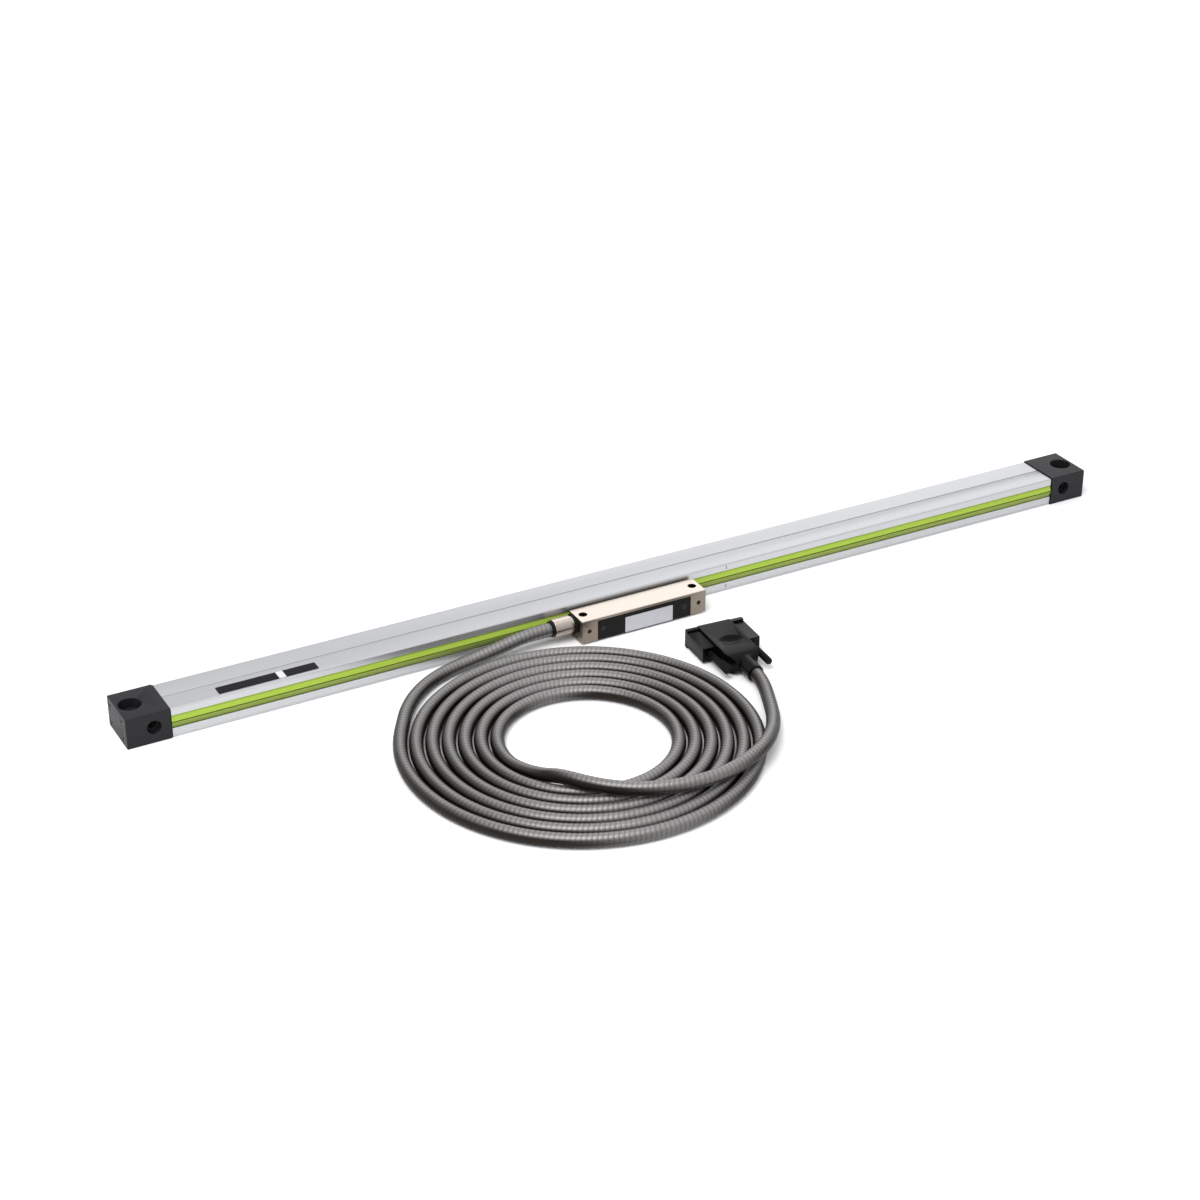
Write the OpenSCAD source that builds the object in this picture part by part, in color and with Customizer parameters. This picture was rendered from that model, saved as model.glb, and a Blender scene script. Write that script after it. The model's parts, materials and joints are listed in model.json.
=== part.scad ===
// Linear glass scale: a sealed aluminium housing with a glass scale inside, and a reading
// head that slides along it on a thin blade between two sealing lips. An armoured cable
// runs from the head to a 15-way connector.
// X runs along the scale, -Y is the side of the lips and the head, +Z is up.
// The origin is the centre of the housing's bottom face.

/* [Housing] */
// Length over the two end caps
overall_len = 812; // [500:1:1400]
// Length of one end cap
cap_len = 32; // [30:0.5:44]
// Depth of the end caps, front to back
unit_depth = 38; // [38:0.5:44]
// Height of the end caps
unit_height = 23.5; // [23.5:0.5:28]
// How far the caps stand above and in front of the profile
cap_proud = 0.8; // [0.4:0.1:1.2]
// Thickness of the gasket under each cap
gasket_t = 0.8; // [0.5:0.1:1.5]
// Wall of the profile at its back and bottom
wall = 2.6; // [2.2:0.1:3]
// Wall of the profile at its top
top_wall = 3; // [2.4:0.1:3.2]
// Wall of the profile at its front, where the lips clip in
front_wall = 3.4; // [3.2:0.1:3.6]
// Radius of the profile's long edges
edge_r = 1.2; // [0.5:0.1:2]
// Width of the shallow groove along the top
groove_w = 1.4; // [0.8:0.1:3]
// Depth of the shallow groove along the top
groove_d = 0.5; // [0.3:0.1:1]

/* [Sealing lips] */
// Height of the slit between the lips above the bottom face
slit_z = 12.2; // [11.8:0.1:12.6]
// Width of the slit between the lips
slit_gap = 0.85; // [0.85:0.05:1.2]
// Height of the opening in the front wall
front_opening = 10; // [9:0.1:10.4]
// Thickness of a lip at its tip
lip_tip_t = 1.8; // [1:0.1:2]

/* [Mounting holes] */
// Distance of the upright hole from the end of the cap
top_hole_in = 10; // [9:0.1:11]
// Radius of the upright hole
top_hole_r = 4.5; // [3:0.1:5]
// Radius of the upright hole's counterbore
top_bore_r = 8.2; // [6:0.1:8.4]
// Depth of the upright hole's counterbore
top_bore_d = 8; // [4:0.5:10]
// Distance of the level hole from the end of the cap
front_hole_in = 20; // [19.5:0.1:22]
// Height of the level hole
front_hole_z = 12.2; // [11.5:0.1:12.4]
// Radius of the level hole
front_hole_r = 3.3; // [2.5:0.1:3.3]
// Radius of the level hole's counterbore
front_bore_r = 5.2; // [4.5:0.1:5.4]
// Depth of the level hole's counterbore
front_bore_d = 5.5; // [3:0.1:5.5]

/* [Glass] */
// Room between each end of the profile and the glass
glass_end_room = 18.2; // [12:0.1:40]
// Width of the glass scale
glass_w = 18; // [17:0.1:18.6]
// Thickness of the glass scale
glass_t = 3; // [2.5:0.1:3]
// Height of the glass scale's lower face
glass_z = 11.5; // [11.4:0.1:11.6]
// Thickness of the adhesive under the glass
bond_t = 0.4; // [0.2:0.1:0.6]

/* [Reading head] */
// Place of the head's middle along the scale
head_x = -16; // [-300:1:300]
// Length of the head
head_len = 104; // [100:0.5:120]
// Depth of the head
head_depth = 20.6; // [20:0.1:24]
// Height of the head's lower face
head_z0 = 1.4; // [1:0.1:2]
// Height of the head's upper face
head_z1 = 19.7; // [19.2:0.1:21]
// Running gap between the caps and the head
head_gap = 1.4; // [0.6:0.1:2]
// Length of each end block
end_block = 12.8; // [12:0.1:14]
// Thickness of the plate over the cover
head_top_t = 2; // [1.8:0.1:3]
// Distance of the head's mounting holes from its ends
head_hole_in = 6; // [5.6:0.1:7]
// Radius of the head's upright mounting holes
head_hole_r = 3.3; // [2.5:0.05:3.4]
// Radius of the threaded holes in the head's front
head_tap_r = 1.65; // [1.2:0.05:2.1]
// Depth of the threaded holes in the head's front
head_tap_d = 5.5; // [3:0.1:6]
// Wall of the cover
cover_wall = 1.6; // [1.2:0.1:2]
// How far the cover's face lies behind the head's front
cover_inset = 0.5; // [0.2:0.1:1]

/* [Scanning carriage] */
// Length of the carriage
carriage_len = 64; // [60:0.5:80]
// Radius of the rollers under the glass
roller_r = 2.6; // [2:0.1:2.7]
// Radius of the rollers at the edge of the glass
edge_roller_r = 2; // [1.6:0.05:2.1]
// Width of a roller
roller_w = 2; // [1.6:0.1:2.2]
// Radius of the roller axles
axle_r = 0.6; // [0.4:0.05:0.8]
// Running clearance round an axle and over a roller
run_gap = 0.06; // [0.03:0.01:0.1]
// Thickness of the blade between the lips
blade_t = 0.5; // [0.4:0.05:0.5]
// Thickness of the flexible circuit under the blade
ribbon_t = 0.12; // [0.08:0.02:0.12]

/* [Cable] */
// Diameter of the armoured cable
cable_d = 10; // [10:1:10]
// Outer radius of the coil's solid
coil_outer_r = 124.5; // [120:0.5:125]
// Inner radius of the coil's solid
coil_inner_r = 54; // [50:0.5:60]

/* [Connector] */
// Width of the connector's hood over its ears
hood_w = 46; // [44:0.5:48]
// Length of the hood
hood_len = 54; // [50:0.5:58]
// Thickness of the hood's middle
hood_h = 15; // [14:0.5:16]
// Width of the hood's middle
hood_mid_w = 26; // [24:0.5:27]
// Thickness of the ears
ear_h = 11; // [10:0.5:12]
// Length of the ears
ear_len = 29; // [26:0.5:32]
// Distance between the two thumbscrews
screw_pitch = 33.3; // [33:0.1:34]
// Radius of a thumbscrew's knob
knob_r = 2.6; // [2.2:0.1:3]
// Length of a thumbscrew's knob
knob_len = 27; // [12:0.5:28]
// Radius of a thumbscrew's shaft
screw_r = 1.42; // [1.3:0.02:1.5]

/* [Hidden] */
$fn = 48;
eps = 0.01;

// Places worked out from the sizes above
front_y = -unit_depth / 2;
back_y = unit_depth / 2;
prof_front = front_y + cap_proud;
prof_h = unit_height - cap_proud;
prof_len = overall_len - 2 * cap_len - 2 * gasket_t;
glass_len = prof_len - 2 * glass_end_room;
cav_y0 = prof_front + front_wall;
cav_y1 = back_y - wall;
cav_z1 = prof_h - top_wall;
opening_lo = slit_z - front_opening / 2;

// Screw channels in the corners of the profile: [y, z] of each
port_r = 2.6;
port_hole_r = 1.55;
port_front_y = front_y + 8;
port_back_y = back_y - 5.8;
port_lo = wall + 2;
port_hi = cav_z1 - 1.3;
PORTS = [[port_front_y, port_lo], [port_front_y, port_hi],
         [port_back_y, port_lo], [port_back_y, port_hi]];
cap_screw_r = 1.5;
cap_screw_head_r = 2.75;
cap_screw_head_h = 3;
cap_screw_grip = 9;
cap_screw_in = 0.2;
cap_socket_r = 1.45;
cap_socket_d = 1.6;
screw_clear = 0.15;

// Keyed edge of a sealing lip
key_neck_w = 1.1;
key_neck_h = 0.8;
key_bulb_w = 1.8;
key_bulb_h = 1.4;
key_y = prof_front + front_wall / 2;
lip_fit = 0.05;
lip_foot_in = 0.95;

// Bare plate on the top face, from the left end and from the front
plate_in = 69;
plate_back = 3.6;
plate_len = 74;
plate_w = 9;

// Glass and its ledge
glass_back = cav_y1 - 0.9;
glass_front = glass_back - glass_w;
ledge_depth = 7;
ledge_t = 2.4;
ledge_top = glass_z - bond_t;

// Head
head_back = front_y - head_gap;
head_front = head_back - head_depth;
head_x0 = head_x - head_len / 2;
head_x1 = head_x + head_len / 2;
head_hole_pitch = head_len - 2 * head_hole_in;
spine_t = 8;
spine_front = head_back - spine_t;
bay_x0 = head_x0 + end_block;
bay_x1 = head_x1 - end_block;
bay_len = bay_x1 - bay_x0;
bay_z1 = head_z1 - head_top_t;
head_hole_y = head_back - head_depth / 2;
cover_gasket_t = 0.6;
cover_fit = 0.1;
cover_front = head_front + cover_inset;
cover_back = spine_front - cover_gasket_t;
cover_h = bay_z1 - cover_fit - head_z0;
cover_screw_in = 5;
label_t = 0.3;
head_plate_len = 40;
head_plate_h = 12.4;
head_plate_shift = 4;
head_plate_low = 1.6;

// Signal board in the head
board_t = 1.2;
board_gap = 1.2;
board_half = 26;
board_in = 3;
board_h = 11;
board_post_x = 22;
board_post_up = 2;
board_post_r = 1.2;
socket_half = 6;
socket_t = 1.6;
socket_up = 2;
socket_h = 7;
chip_len = 5;
chip_t = 1.2;
chip_up = 3;
CHIPS = [-18, 14];

// Blade
blade_z = slit_z + ribbon_t / 2;
blade_len = 44;
blade_tip = 5;
blade_root = head_back - 6;
blade_end = front_y + 8.6;
blade_screw_x = 14;
blade_screw_y = head_back - 3.4;
blade_screw_r = 1;
tab_x = -19;
tab_w = 3;
rod_z = 9.4;
rod_y = blade_end - 1.6;
rod_r = 0.5;
rod_reach = 24;
rod_arm = 8;

// Carriage
jaw_front = glass_front - 4.9;
jaw_back = cav_y1 - ledge_depth - 0.9;
jaw_z0 = 4.4;
jaw_gap = 0.6;
jaw_top = glass_z - jaw_gap;
upper_jaw_z0 = glass_z + glass_t + jaw_gap;
upper_jaw_z1 = cav_z1 - 1.2;
upper_jaw_len = 44;
web_back = glass_front - jaw_gap;
lens_x = 0;
lens_y = (glass_front + jaw_back) / 2;
lens_r = 3.4;
face_z = glass_z - run_gap - roller_r;
FACE_ROLLERS = [[-24, lens_y + 2.6], [24, lens_y + 2.6], [13, glass_front + 2]];
edge_y = glass_front - run_gap - edge_roller_r;
edge_z = glass_z + glass_t / 2;
EDGE_ROLLERS = [-20, 20];
pocket_gap = 0.4;
axle_len = 5.6;

// Gland on the left end of the head
gland_y = head_back - 7.2;
gland_z = 12.6;
gland_spigot_r = 4.4;
gland_spigot_l = 3;
gland_flange_l = 3.5;
gland_nut_l = 14;
gland_ring_l = 2;
gland_washer_l = 1.8;
gland_washer_r = 7.4;
gland_r = 6.9;
wire_way_r = 1.2;
cable_exit_x = head_x0 - gland_flange_l - gland_nut_l - gland_ring_l;

// Connector: its own frame has the mating face at y = 0 and the cable towards -y
hood_x = 36;
hood_y = -79;
hood_turn = -4;
hood_z = hood_h / 2;
boot_len = 13;
boot_r = 6.5;
boot_taper = 0.3;
core_r = 2.9;
core_short = 15;
flange_w = 39.2;
flange_h = 12.5;
flange_t = 0.9;
shell_w = 25;
shell_h = 8.4;
shell_len = 5.9;
shell_wall = 0.5;
rear_w = 25.4;
rear_h = 10.4;
rear_len = 7;
contact_pitch = 2.76;
contact_row = 2.84;
contact_r = 0.9;
contact_bore_r = 0.5;
hood_wall = 1.6;
hood_screw_x = 9;
hood_screw_in = 39;
hood_post_r = 2.4;
hood_fall = 4.2;
hood_fall_len = 12;
lip_depth = 3.4;
lip_h = 14;
thumb_place = 0.52;
thumb_depth = 2.4;
thumb_r = 11;
thumb_half = 15.5;

// Route of the cable, left out of the head and down to the coil, then from the inside of
// the coil over its turns to the connector. Counted from the head's middle.
LEAD = [[-71.5, -27.6, 12.6], [-84, -27.6, 12.5], [-98, -28, 11.4], [-112, -28.8, 9.4],
        [-126, -29.6, 7.4], [-142, -31, 5.6], [-158, -34.6, 5], [-174, -41.6, 5],
        [-190, -53, 5], [-204, -68, 5], [-216, -86, 5]];
coil_x = -117.5;
coil_y = -163.5;
COIL_MID = [-115, -161];
TAIL = [for (p = [[215, 58, 9.4], [224, 60.5, 12.6], [233, 64.5, 14.6], [243, 70, 15.2],
                  [255, 77.5, 15.2], [266, 85, 15.2], [278, 93.5, 15.2], [290, 102.5, 15.2],
                  [301, 110.5, 15.2], [311, 117, 15.2], [320, 122.5, 14.6], [330, 127, 12.2],
                  [340, 131.2, 9], [350, 136, 7.2]])
            [COIL_MID[0] + p[1] * cos(p[0]), COIL_MID[1] + p[1] * sin(p[0]), p[2]]];

// A square with round corners, from [0, 0]
module round_rect(w, h, r) {
    translate([r, 0]) square([w - 2 * r, h]);
    translate([0, r]) square([w, h - 2 * r]);
    for (x = [r, w - r], y = [r, h - r]) translate([x, y]) circle(r);
}

// Extrudes a section drawn in Y and Z along X, from x0
module along_x(x0, len) {
    translate([x0, 0, 0]) rotate([90, 0, 90]) linear_extrude(len) children();
}

// A cylinder along X, Y or Z from a point
module rod_x(p, r, len) { translate(p) rotate([0, 90, 0]) cylinder(r = r, h = len); }
module rod_y(p, r, len) { translate(p) rotate([-90, 0, 0]) cylinder(r = r, h = len); }
module rod_z(p, r, len) { translate(p) cylinder(r = r, h = len); }

module box(x0, x1, y0, y1, z0, z1) {
    translate([x0, y0, z0]) cube([x1 - x0, y1 - y0, z1 - z0]);
}

// ---- Housing ----

module profile_section() {
    difference() {
        union() {
            difference() {
                translate([prof_front, 0]) round_rect(back_y - prof_front, prof_h, edge_r);
                translate([cav_y0, wall]) square([cav_y1 - cav_y0, cav_z1 - wall]);
            }
            for (p = PORTS) translate(p) circle(port_r);
            // Legs that tie the screw channels to the walls
            for (y = [port_front_y, port_back_y]) {
                translate([y - port_r, wall - 1]) square([2 * port_r, port_lo - wall + 1]);
                translate([y - port_r, port_hi]) square([2 * port_r, cav_z1 + 1 - port_hi]);
            }
            // Ledge that carries the glass
            translate([cav_y1 - ledge_depth, ledge_top - ledge_t]) square([ledge_depth + 1, ledge_t]);
            // Rib over the back edge of the glass
            translate([cav_y1 - 1.6, glass_z + glass_t + 0.3]) square([2.6, 1.2]);
        }
        for (p = PORTS) translate(p) circle(port_hole_r);
        translate([prof_front - 1, opening_lo]) square([front_wall + 2, front_opening]);
        for (up = [0, 1]) translate([key_y, slit_z]) mirror([0, up]) lip_key(front_opening / 2, lip_fit);
        translate([-groove_w / 2, prof_h - groove_d]) square([groove_w, groove_d + 1]);
        for (side = [-1, 1]) translate([side * unit_depth / 4 - groove_w / 2, -1])
            square([groove_w, groove_d + 1]);
        translate([back_y - groove_d, unit_height / 2 - groove_w]) square([groove_d + 1, 2 * groove_w]);
        // Thin line along the foot of the front face
        translate([prof_front - 1, 1.6]) square([1.3, 0.5]);
    }
}

// Key of a lip, pointing down, from a level above its foot
module lip_key(level, fit) {
    translate([-key_neck_w / 2 - fit, -level - key_neck_h - fit])
        square([key_neck_w + 2 * fit, key_neck_h + 2 * lip_fit + eps]);
    translate([-key_bulb_w / 2 - fit, -level - key_neck_h - key_bulb_h - fit])
        square([key_bulb_w + 2 * fit, key_bulb_h + 2 * fit]);
}

module housing_profile() {
    color("#c4c6ca") along_x(-prof_len / 2, prof_len) profile_section();
}

// Half of the seal, drawn below the slit; the upper lip is its mirror image
module lip_section() {
    foot = -front_opening / 2 + lip_fit;
    tip = -slit_gap / 2;
    polygon([[prof_front + lip_foot_in, foot], [front_y + 0.15, tip - 0.5], [front_y, tip - 0.2],
             [front_y + 0.1, tip], [front_y + 0.1 + lip_tip_t, tip], [cav_y0 - 0.3, foot]]);
    translate([key_y, 0]) lip_key(front_opening / 2, 0);
}

module lower_lip() {
    color("#a4bf4a") along_x(-prof_len / 2, prof_len) translate([0, slit_z]) lip_section();
}

module upper_lip() {
    color("#a4bf4a") along_x(-prof_len / 2, prof_len)
        translate([0, slit_z]) mirror([0, 1]) lip_section();
}

// End cap with its outer face at x = 0 and its body towards +x
module end_cap() {
    edge = 0.8;
    difference() {
        along_x(0, cap_len) translate([front_y, 0]) round_rect(unit_depth, unit_height, edge);
        rod_z([top_hole_in, 0, -1], top_hole_r, unit_height + 2);
        rod_z([top_hole_in, 0, unit_height - top_bore_d], top_bore_r, top_bore_d + 1);
        rod_y([front_hole_in, front_y - 1, front_hole_z], front_hole_r, unit_depth + 2);
        rod_y([front_hole_in, front_y - 1, front_hole_z], front_bore_r, front_bore_d + 1);
        for (p = PORTS) {
            rod_x([-1, p[0], p[1]], cap_screw_r + screw_clear, cap_len + 2);
            rod_x([-1, p[0], p[1]], cap_screw_head_r + screw_clear, cap_screw_head_h + 1.2);
        }
    }
}

module end_cap_left() { color("#39393c") translate([-overall_len / 2, 0, 0]) end_cap(); }
module end_cap_right() { color("#39393c") mirror([1, 0, 0]) translate([-overall_len / 2, 0, 0]) end_cap(); }

module cap_gasket(x) {
    along_x(x, gasket_t) difference() {
        translate([prof_front, 0]) round_rect(back_y - prof_front, prof_h, edge_r);
        translate([cav_y0 + 1, wall + 1]) square([cav_y1 - cav_y0 - 2, cav_z1 - wall - 2]);
        for (p = PORTS) translate(p) circle(port_hole_r + 0.3);
    }
}

module cap_gasket_left() { color("#202020") cap_gasket(-prof_len / 2 - gasket_t); }
module cap_gasket_right() { color("#202020") cap_gasket(prof_len / 2); }

// Socket-head screw along +x with the face of its head at x = 0
module cap_screw() {
    difference() {
        union() {
            rod_x([0, 0, 0], cap_screw_head_r, cap_screw_head_h);
            rod_x([cap_screw_head_h, 0, 0], cap_screw_r,
                  cap_len - cap_screw_head_h + gasket_t + cap_screw_grip);
        }
        rotate([0, 90, 0]) translate([0, 0, -1]) cylinder(r = cap_socket_r, h = cap_socket_d + 1, $fn = 6);
    }
}

module cap_screws() {
    color("#2a2a2c") for (side = [0, 1], p = PORTS)
        mirror([side, 0, 0]) translate([-overall_len / 2 + cap_screw_in, p[0], p[1]]) cap_screw();
}

module glass_scale() {
    color("#a8c8c4", 0.6) box(-glass_len / 2, glass_len / 2, glass_front, glass_back,
        glass_z, glass_z + glass_t);
}

module glass_bond() {
    color("#e8e4d8") box(-glass_len / 2, glass_len / 2, cav_y1 - ledge_depth + 0.8, glass_back,
        ledge_top, glass_z);
}

// Bare plate on the top face
module label_plate() {
    color("#1c1c1e") translate([-overall_len / 2 + plate_in, front_y + plate_back, prof_h])
        linear_extrude(label_t) round_rect(plate_len, plate_w, 0.6);
}

// ---- Reading head ----

module head_block() {
    color("#d8d2c8") difference() {
        along_x(head_x0, head_len) translate([head_front, head_z0])
            round_rect(head_depth, head_z1 - head_z0, 0.7);
        // Bay for the cover
        box(bay_x0, bay_x1, head_front - 1, spine_front, head_z0 - 1, bay_z1);
        for (side = [-1, 1]) translate([head_x + side * head_hole_pitch / 2, 0, 0]) {
            rod_z([0, head_hole_y, head_z0 - 1], head_hole_r, head_z1 - head_z0 + 2);
            rod_y([0, head_front - 1, (head_z0 + head_z1) / 2], head_tap_r, head_tap_d + 1);
        }
        // Slot for the blade, open to the bay for the ribbon
        box(head_x - blade_len / 2 - 0.1, head_x + blade_len / 2 + 0.1, blade_root, head_back + 1,
            blade_z - blade_t / 2 - ribbon_t, blade_z + blade_t / 2);
        box(head_x - 6, head_x + 6, spine_front - 1, blade_root + 1,
            blade_z - blade_t / 2 - ribbon_t, blade_z + blade_t / 2);
        for (side = [-1, 1]) translate([head_x + side * blade_screw_x, blade_screw_y, 0]) {
            rod_z([0, 0, head_z0 - 1], blade_screw_r + 0.05, blade_z + 2.4);
            rod_z([0, 0, head_z0 - 1], 2.1, 2.6);
        }
        // Socket for the gland and the way for its wires
        rod_x([head_x0 - 1, gland_y, gland_z], gland_spigot_r, gland_spigot_l + 1);
        rod_x([head_x0, gland_y + 2.1, gland_z], wire_way_r, end_block + 3);
        box(bay_x0 - eps, bay_x0 + 3, spine_front - 1, gland_y + 3.3,
            gland_z - wire_way_r, gland_z + wire_way_r);
        for (side = [-1, 1])
            rod_y([head_x + side * (bay_len / 2 - cover_screw_in), spine_front - 1, head_z0 + cover_h / 2],
                  1.05, 5);
    }
}

module head_cover() {
    x0 = bay_x0 + cover_fit;
    len = bay_len - 2 * cover_fit;
    color("#1a1a1a") difference() {
        box(x0, x0 + len, cover_front, cover_back, head_z0, head_z0 + cover_h);
        box(x0 + cover_wall, x0 + len - cover_wall, cover_front + cover_wall, cover_back + 1,
            head_z0 + cover_wall, head_z0 + cover_h - cover_wall);
        for (side = [-1, 1]) {
            sx = head_x + side * (bay_len / 2 - cover_screw_in);
            rod_y([sx, cover_front - 1, head_z0 + cover_h / 2], 1.25, cover_wall + 2);
            rod_y([sx, cover_front - 1, head_z0 + cover_h / 2], 2.2, 1.8);
        }
    }
}

module cover_gasket() {
    x0 = bay_x0 + cover_fit;
    len = bay_len - 2 * cover_fit;
    color("#30302e") difference() {
        box(x0, x0 + len, cover_back, spine_front, head_z0, head_z0 + cover_h);
        box(x0 + cover_wall, x0 + len - cover_wall, cover_back - 1, spine_front + 1,
            head_z0 + cover_wall, head_z0 + cover_h - cover_wall);
    }
}

module cover_screws() {
    color("#2c2c2c") for (side = [-1, 1])
        translate([head_x + side * (bay_len / 2 - cover_screw_in), cover_front, head_z0 + cover_h / 2])
            difference() {
                union() {
                    rod_y([0, 0.1, 0], 2.1, 0.7);
                    rod_y([0, 0.8, 0], 1, spine_front - cover_front + 2.8);
                }
                rotate([-90, 0, 0]) translate([0, 0, -0.5]) cylinder(r = 0.8, h = 1.1, $fn = 6);
            }
}

// Bare plate on the cover
module head_label() {
    mid_z = head_z0 + cover_h / 2 - head_plate_low;
    color("#e4e4e6") translate([head_x + head_plate_shift, cover_front, mid_z]) rotate([90, 0, 0])
        linear_extrude(label_t) translate([-head_plate_len / 2, -head_plate_h / 2])
            round_rect(head_plate_len, head_plate_h, 0.4);
}

module head_board() {
    back = spine_front - board_gap;
    face = back - board_t;
    z0 = head_z0 + board_in;
    color("#1f5a3a") {
        box(head_x - board_half, head_x + board_half, face, back, z0, z0 + board_h);
        for (side = [-1, 1])
            rod_y([head_x + side * board_post_x, back, z0 + board_post_up], board_post_r, board_gap);
        box(head_x - socket_half, head_x + socket_half, face - socket_t, face,
            z0 + socket_up, z0 + socket_up + socket_h);
        for (x = CHIPS)
            box(head_x + x, head_x + x + chip_len, face - chip_t, face,
                z0 + chip_up, z0 + chip_up + chip_len);
    }
}

// Thin blade with a knife edge at each end of its neck, and two ears for the coupling
module blade() {
    h = blade_len / 2;
    neck = (front_y + cav_y0) / 2;
    color("#b8bac0") translate([head_x, 0, blade_z - blade_t / 2]) difference() {
        union() {
            linear_extrude(blade_t) polygon([[-h, blade_root], [h, blade_root], [h, neck - 3],
                [h + blade_tip, neck], [h, neck + 3], [h, blade_end], [-h, blade_end],
                [-h, neck + 3], [-h - blade_tip, neck], [-h, neck - 3]]);
            translate([tab_x - tab_w / 2, blade_end - 2.6, rod_z - blade_z + blade_t / 2 - 1.6])
                cube([tab_w, 1.6 + eps, blade_z - rod_z + 1.6]);
        }
        for (side = [-1, 1]) translate([side * blade_screw_x, blade_screw_y, -1])
            cylinder(r = blade_screw_r + 0.05, h = blade_t + 2);
    }
}

module blade_screws() {
    color("#56585c") for (side = [-1, 1]) translate([head_x + side * blade_screw_x, blade_screw_y, 0])
        difference() {
            union() {
                rod_z([0, 0, head_z0 + 0.3], 2, 1.3);
                rod_z([0, 0, head_z0 + 1.6], blade_screw_r, blade_z + blade_t / 2 - head_z0 - 1.6);
            }
            translate([0, 0, head_z0]) cylinder(r = 0.8, h = 1, $fn = 6);
        }
}

module signal_ribbon() {
    color("#b06a20") box(head_x - 5, head_x + 5, spine_front - 1.2, blade_end - 0.6,
        blade_z - blade_t / 2 - ribbon_t, blade_z - blade_t / 2);
}

module coupling_rod() {
    color("#d0d0d4") rod_x([head_x + tab_x + tab_w / 2, blade_end - 1.8, rod_z], rod_r,
        rod_reach + rod_arm - 2);
}

// Leaf that presses the carriage against the glass
module preload_spring() {
    y0 = blade_end - 0.4;
    color("#c8c8cc") translate([head_x, 0, 0]) {
        box(-14, -2, y0 - 2, y0, blade_z + blade_t / 2, blade_z + blade_t / 2 + 0.3);
        box(-14, -2, y0 - 0.3, y0, blade_z + blade_t / 2 + 0.3, blade_z + blade_t / 2 + 2.4);
        box(-14, 8, y0, jaw_front, blade_z + blade_t / 2 + 2.1, blade_z + blade_t / 2 + 2.4);
    }
}

// ---- Scanning carriage ----

module at_face_rollers() { for (p = FACE_ROLLERS) translate([head_x + p[0], p[1], face_z]) children(); }
module at_edge_rollers() { for (x = EDGE_ROLLERS) translate([head_x + x, edge_y, edge_z]) children(); }

module carriage() {
    half = carriage_len / 2;
    px = roller_r + pocket_gap;
    py = roller_w / 2 + pocket_gap;
    ex = edge_roller_r + pocket_gap;
    color("#6a6c70") translate([head_x, 0, 0]) difference() {
        union() {
            box(-half, half, jaw_front, jaw_back, jaw_z0, jaw_top);
            box(-half, half, jaw_front, web_back, jaw_top - eps, upper_jaw_z0 + 2);
            box(-upper_jaw_len / 2, upper_jaw_len / 2, jaw_front, jaw_back, upper_jaw_z0, upper_jaw_z1);
        }
        for (p = FACE_ROLLERS) translate([p[0], p[1], 0]) {
            box(-px, px, -py, py, face_z - px, jaw_top + 1);
            rod_y([0, -axle_len / 2, face_z], axle_r, axle_len);
        }
        for (x = EDGE_ROLLERS) translate([x, 0, 0]) {
            box(-ex, ex, jaw_front - 1, web_back + 1, edge_z - py, edge_z + py);
            rod_z([0, edge_y, edge_z - axle_len / 2], axle_r, axle_len);
        }
        rod_z([lens_x, lens_y, jaw_z0 - 1], lens_r, upper_jaw_z1 - jaw_z0 + 2);
        // Seat for the reticle
        box(lens_x - 5, lens_x + 5, lens_y - 4, lens_y + 4, upper_jaw_z0 - 1, upper_jaw_z0 + 0.8);
        // Socket for the coupling rod
        rod_x([tab_x + tab_w / 2 + rod_reach, blade_end - 1.8, rod_z], rod_r, rod_arm);
    }
    // Arm that takes the end of the coupling rod
    color("#6a6c70") translate([head_x, 0, 0]) difference() {
        box(tab_x + tab_w / 2 + rod_reach, tab_x + tab_w / 2 + rod_reach + rod_arm, blade_end - 3, jaw_front,
            rod_z - 1.3, rod_z + 1.3);
        rod_x([tab_x + tab_w / 2 + rod_reach - 1, blade_end - 1.8, rod_z], rod_r, rod_arm - 1);
    }
}

module roller_axles() {
    color("#8c8e92") {
        at_face_rollers() rod_y([0, -axle_len / 2, 0], axle_r, axle_len);
        at_edge_rollers() rod_z([0, 0, -axle_len / 2], axle_r, axle_len);
    }
}

// Ball bearing used as a roller, along Z, centred
module roller(r) {
    difference() {
        rotate_extrude() difference() {
            translate([axle_r + run_gap, -roller_w / 2]) square([r - axle_r - run_gap, roller_w]);
            for (s = [-1, 1]) translate([(axle_r + r) / 2 - 0.2, s * roller_w / 2 - 0.15]) square([0.5, 0.3]);
        }
    }
}

module face_roller(i) {
    color("#b4b6bc") translate([head_x + FACE_ROLLERS[i][0], FACE_ROLLERS[i][1], face_z])
        rotate([90, 0, 0]) roller(roller_r);
}

module edge_roller(i) {
    color("#b4b6bc") translate([head_x + EDGE_ROLLERS[i], edge_y, edge_z]) roller(edge_roller_r);
}

module face_roller_1() { face_roller(0); }
module face_roller_2() { face_roller(1); }
module face_roller_3() { face_roller(2); }
module edge_roller_1() { edge_roller(0); }
module edge_roller_2() { edge_roller(1); }

module lamp_board() {
    color("#1f5a3a") box(head_x + lens_x - 7, head_x + lens_x + 7, lens_y - 4.5, lens_y + 4.5,
        jaw_z0 - 0.8, jaw_z0);
}

module lamp() {
    color("#e8e0c0") translate([head_x + lens_x, lens_y, jaw_z0]) {
        cylinder(r = 2.4, h = 1);
        cylinder(r = 1.5, h = 2.4);
    }
}

module condenser_lens() {
    color("#d8e8ee", 0.6) translate([head_x + lens_x, lens_y, jaw_top - 2.4]) cylinder(r = lens_r, h = 1.6);
}

module scanning_reticle() {
    color("#9fb8b4", 0.7) translate([head_x, 0, 0]) box(lens_x - 5, lens_x + 5, lens_y - 4, lens_y + 4,
        upper_jaw_z0 - 0.3, upper_jaw_z0 + 0.8);
}

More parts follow.
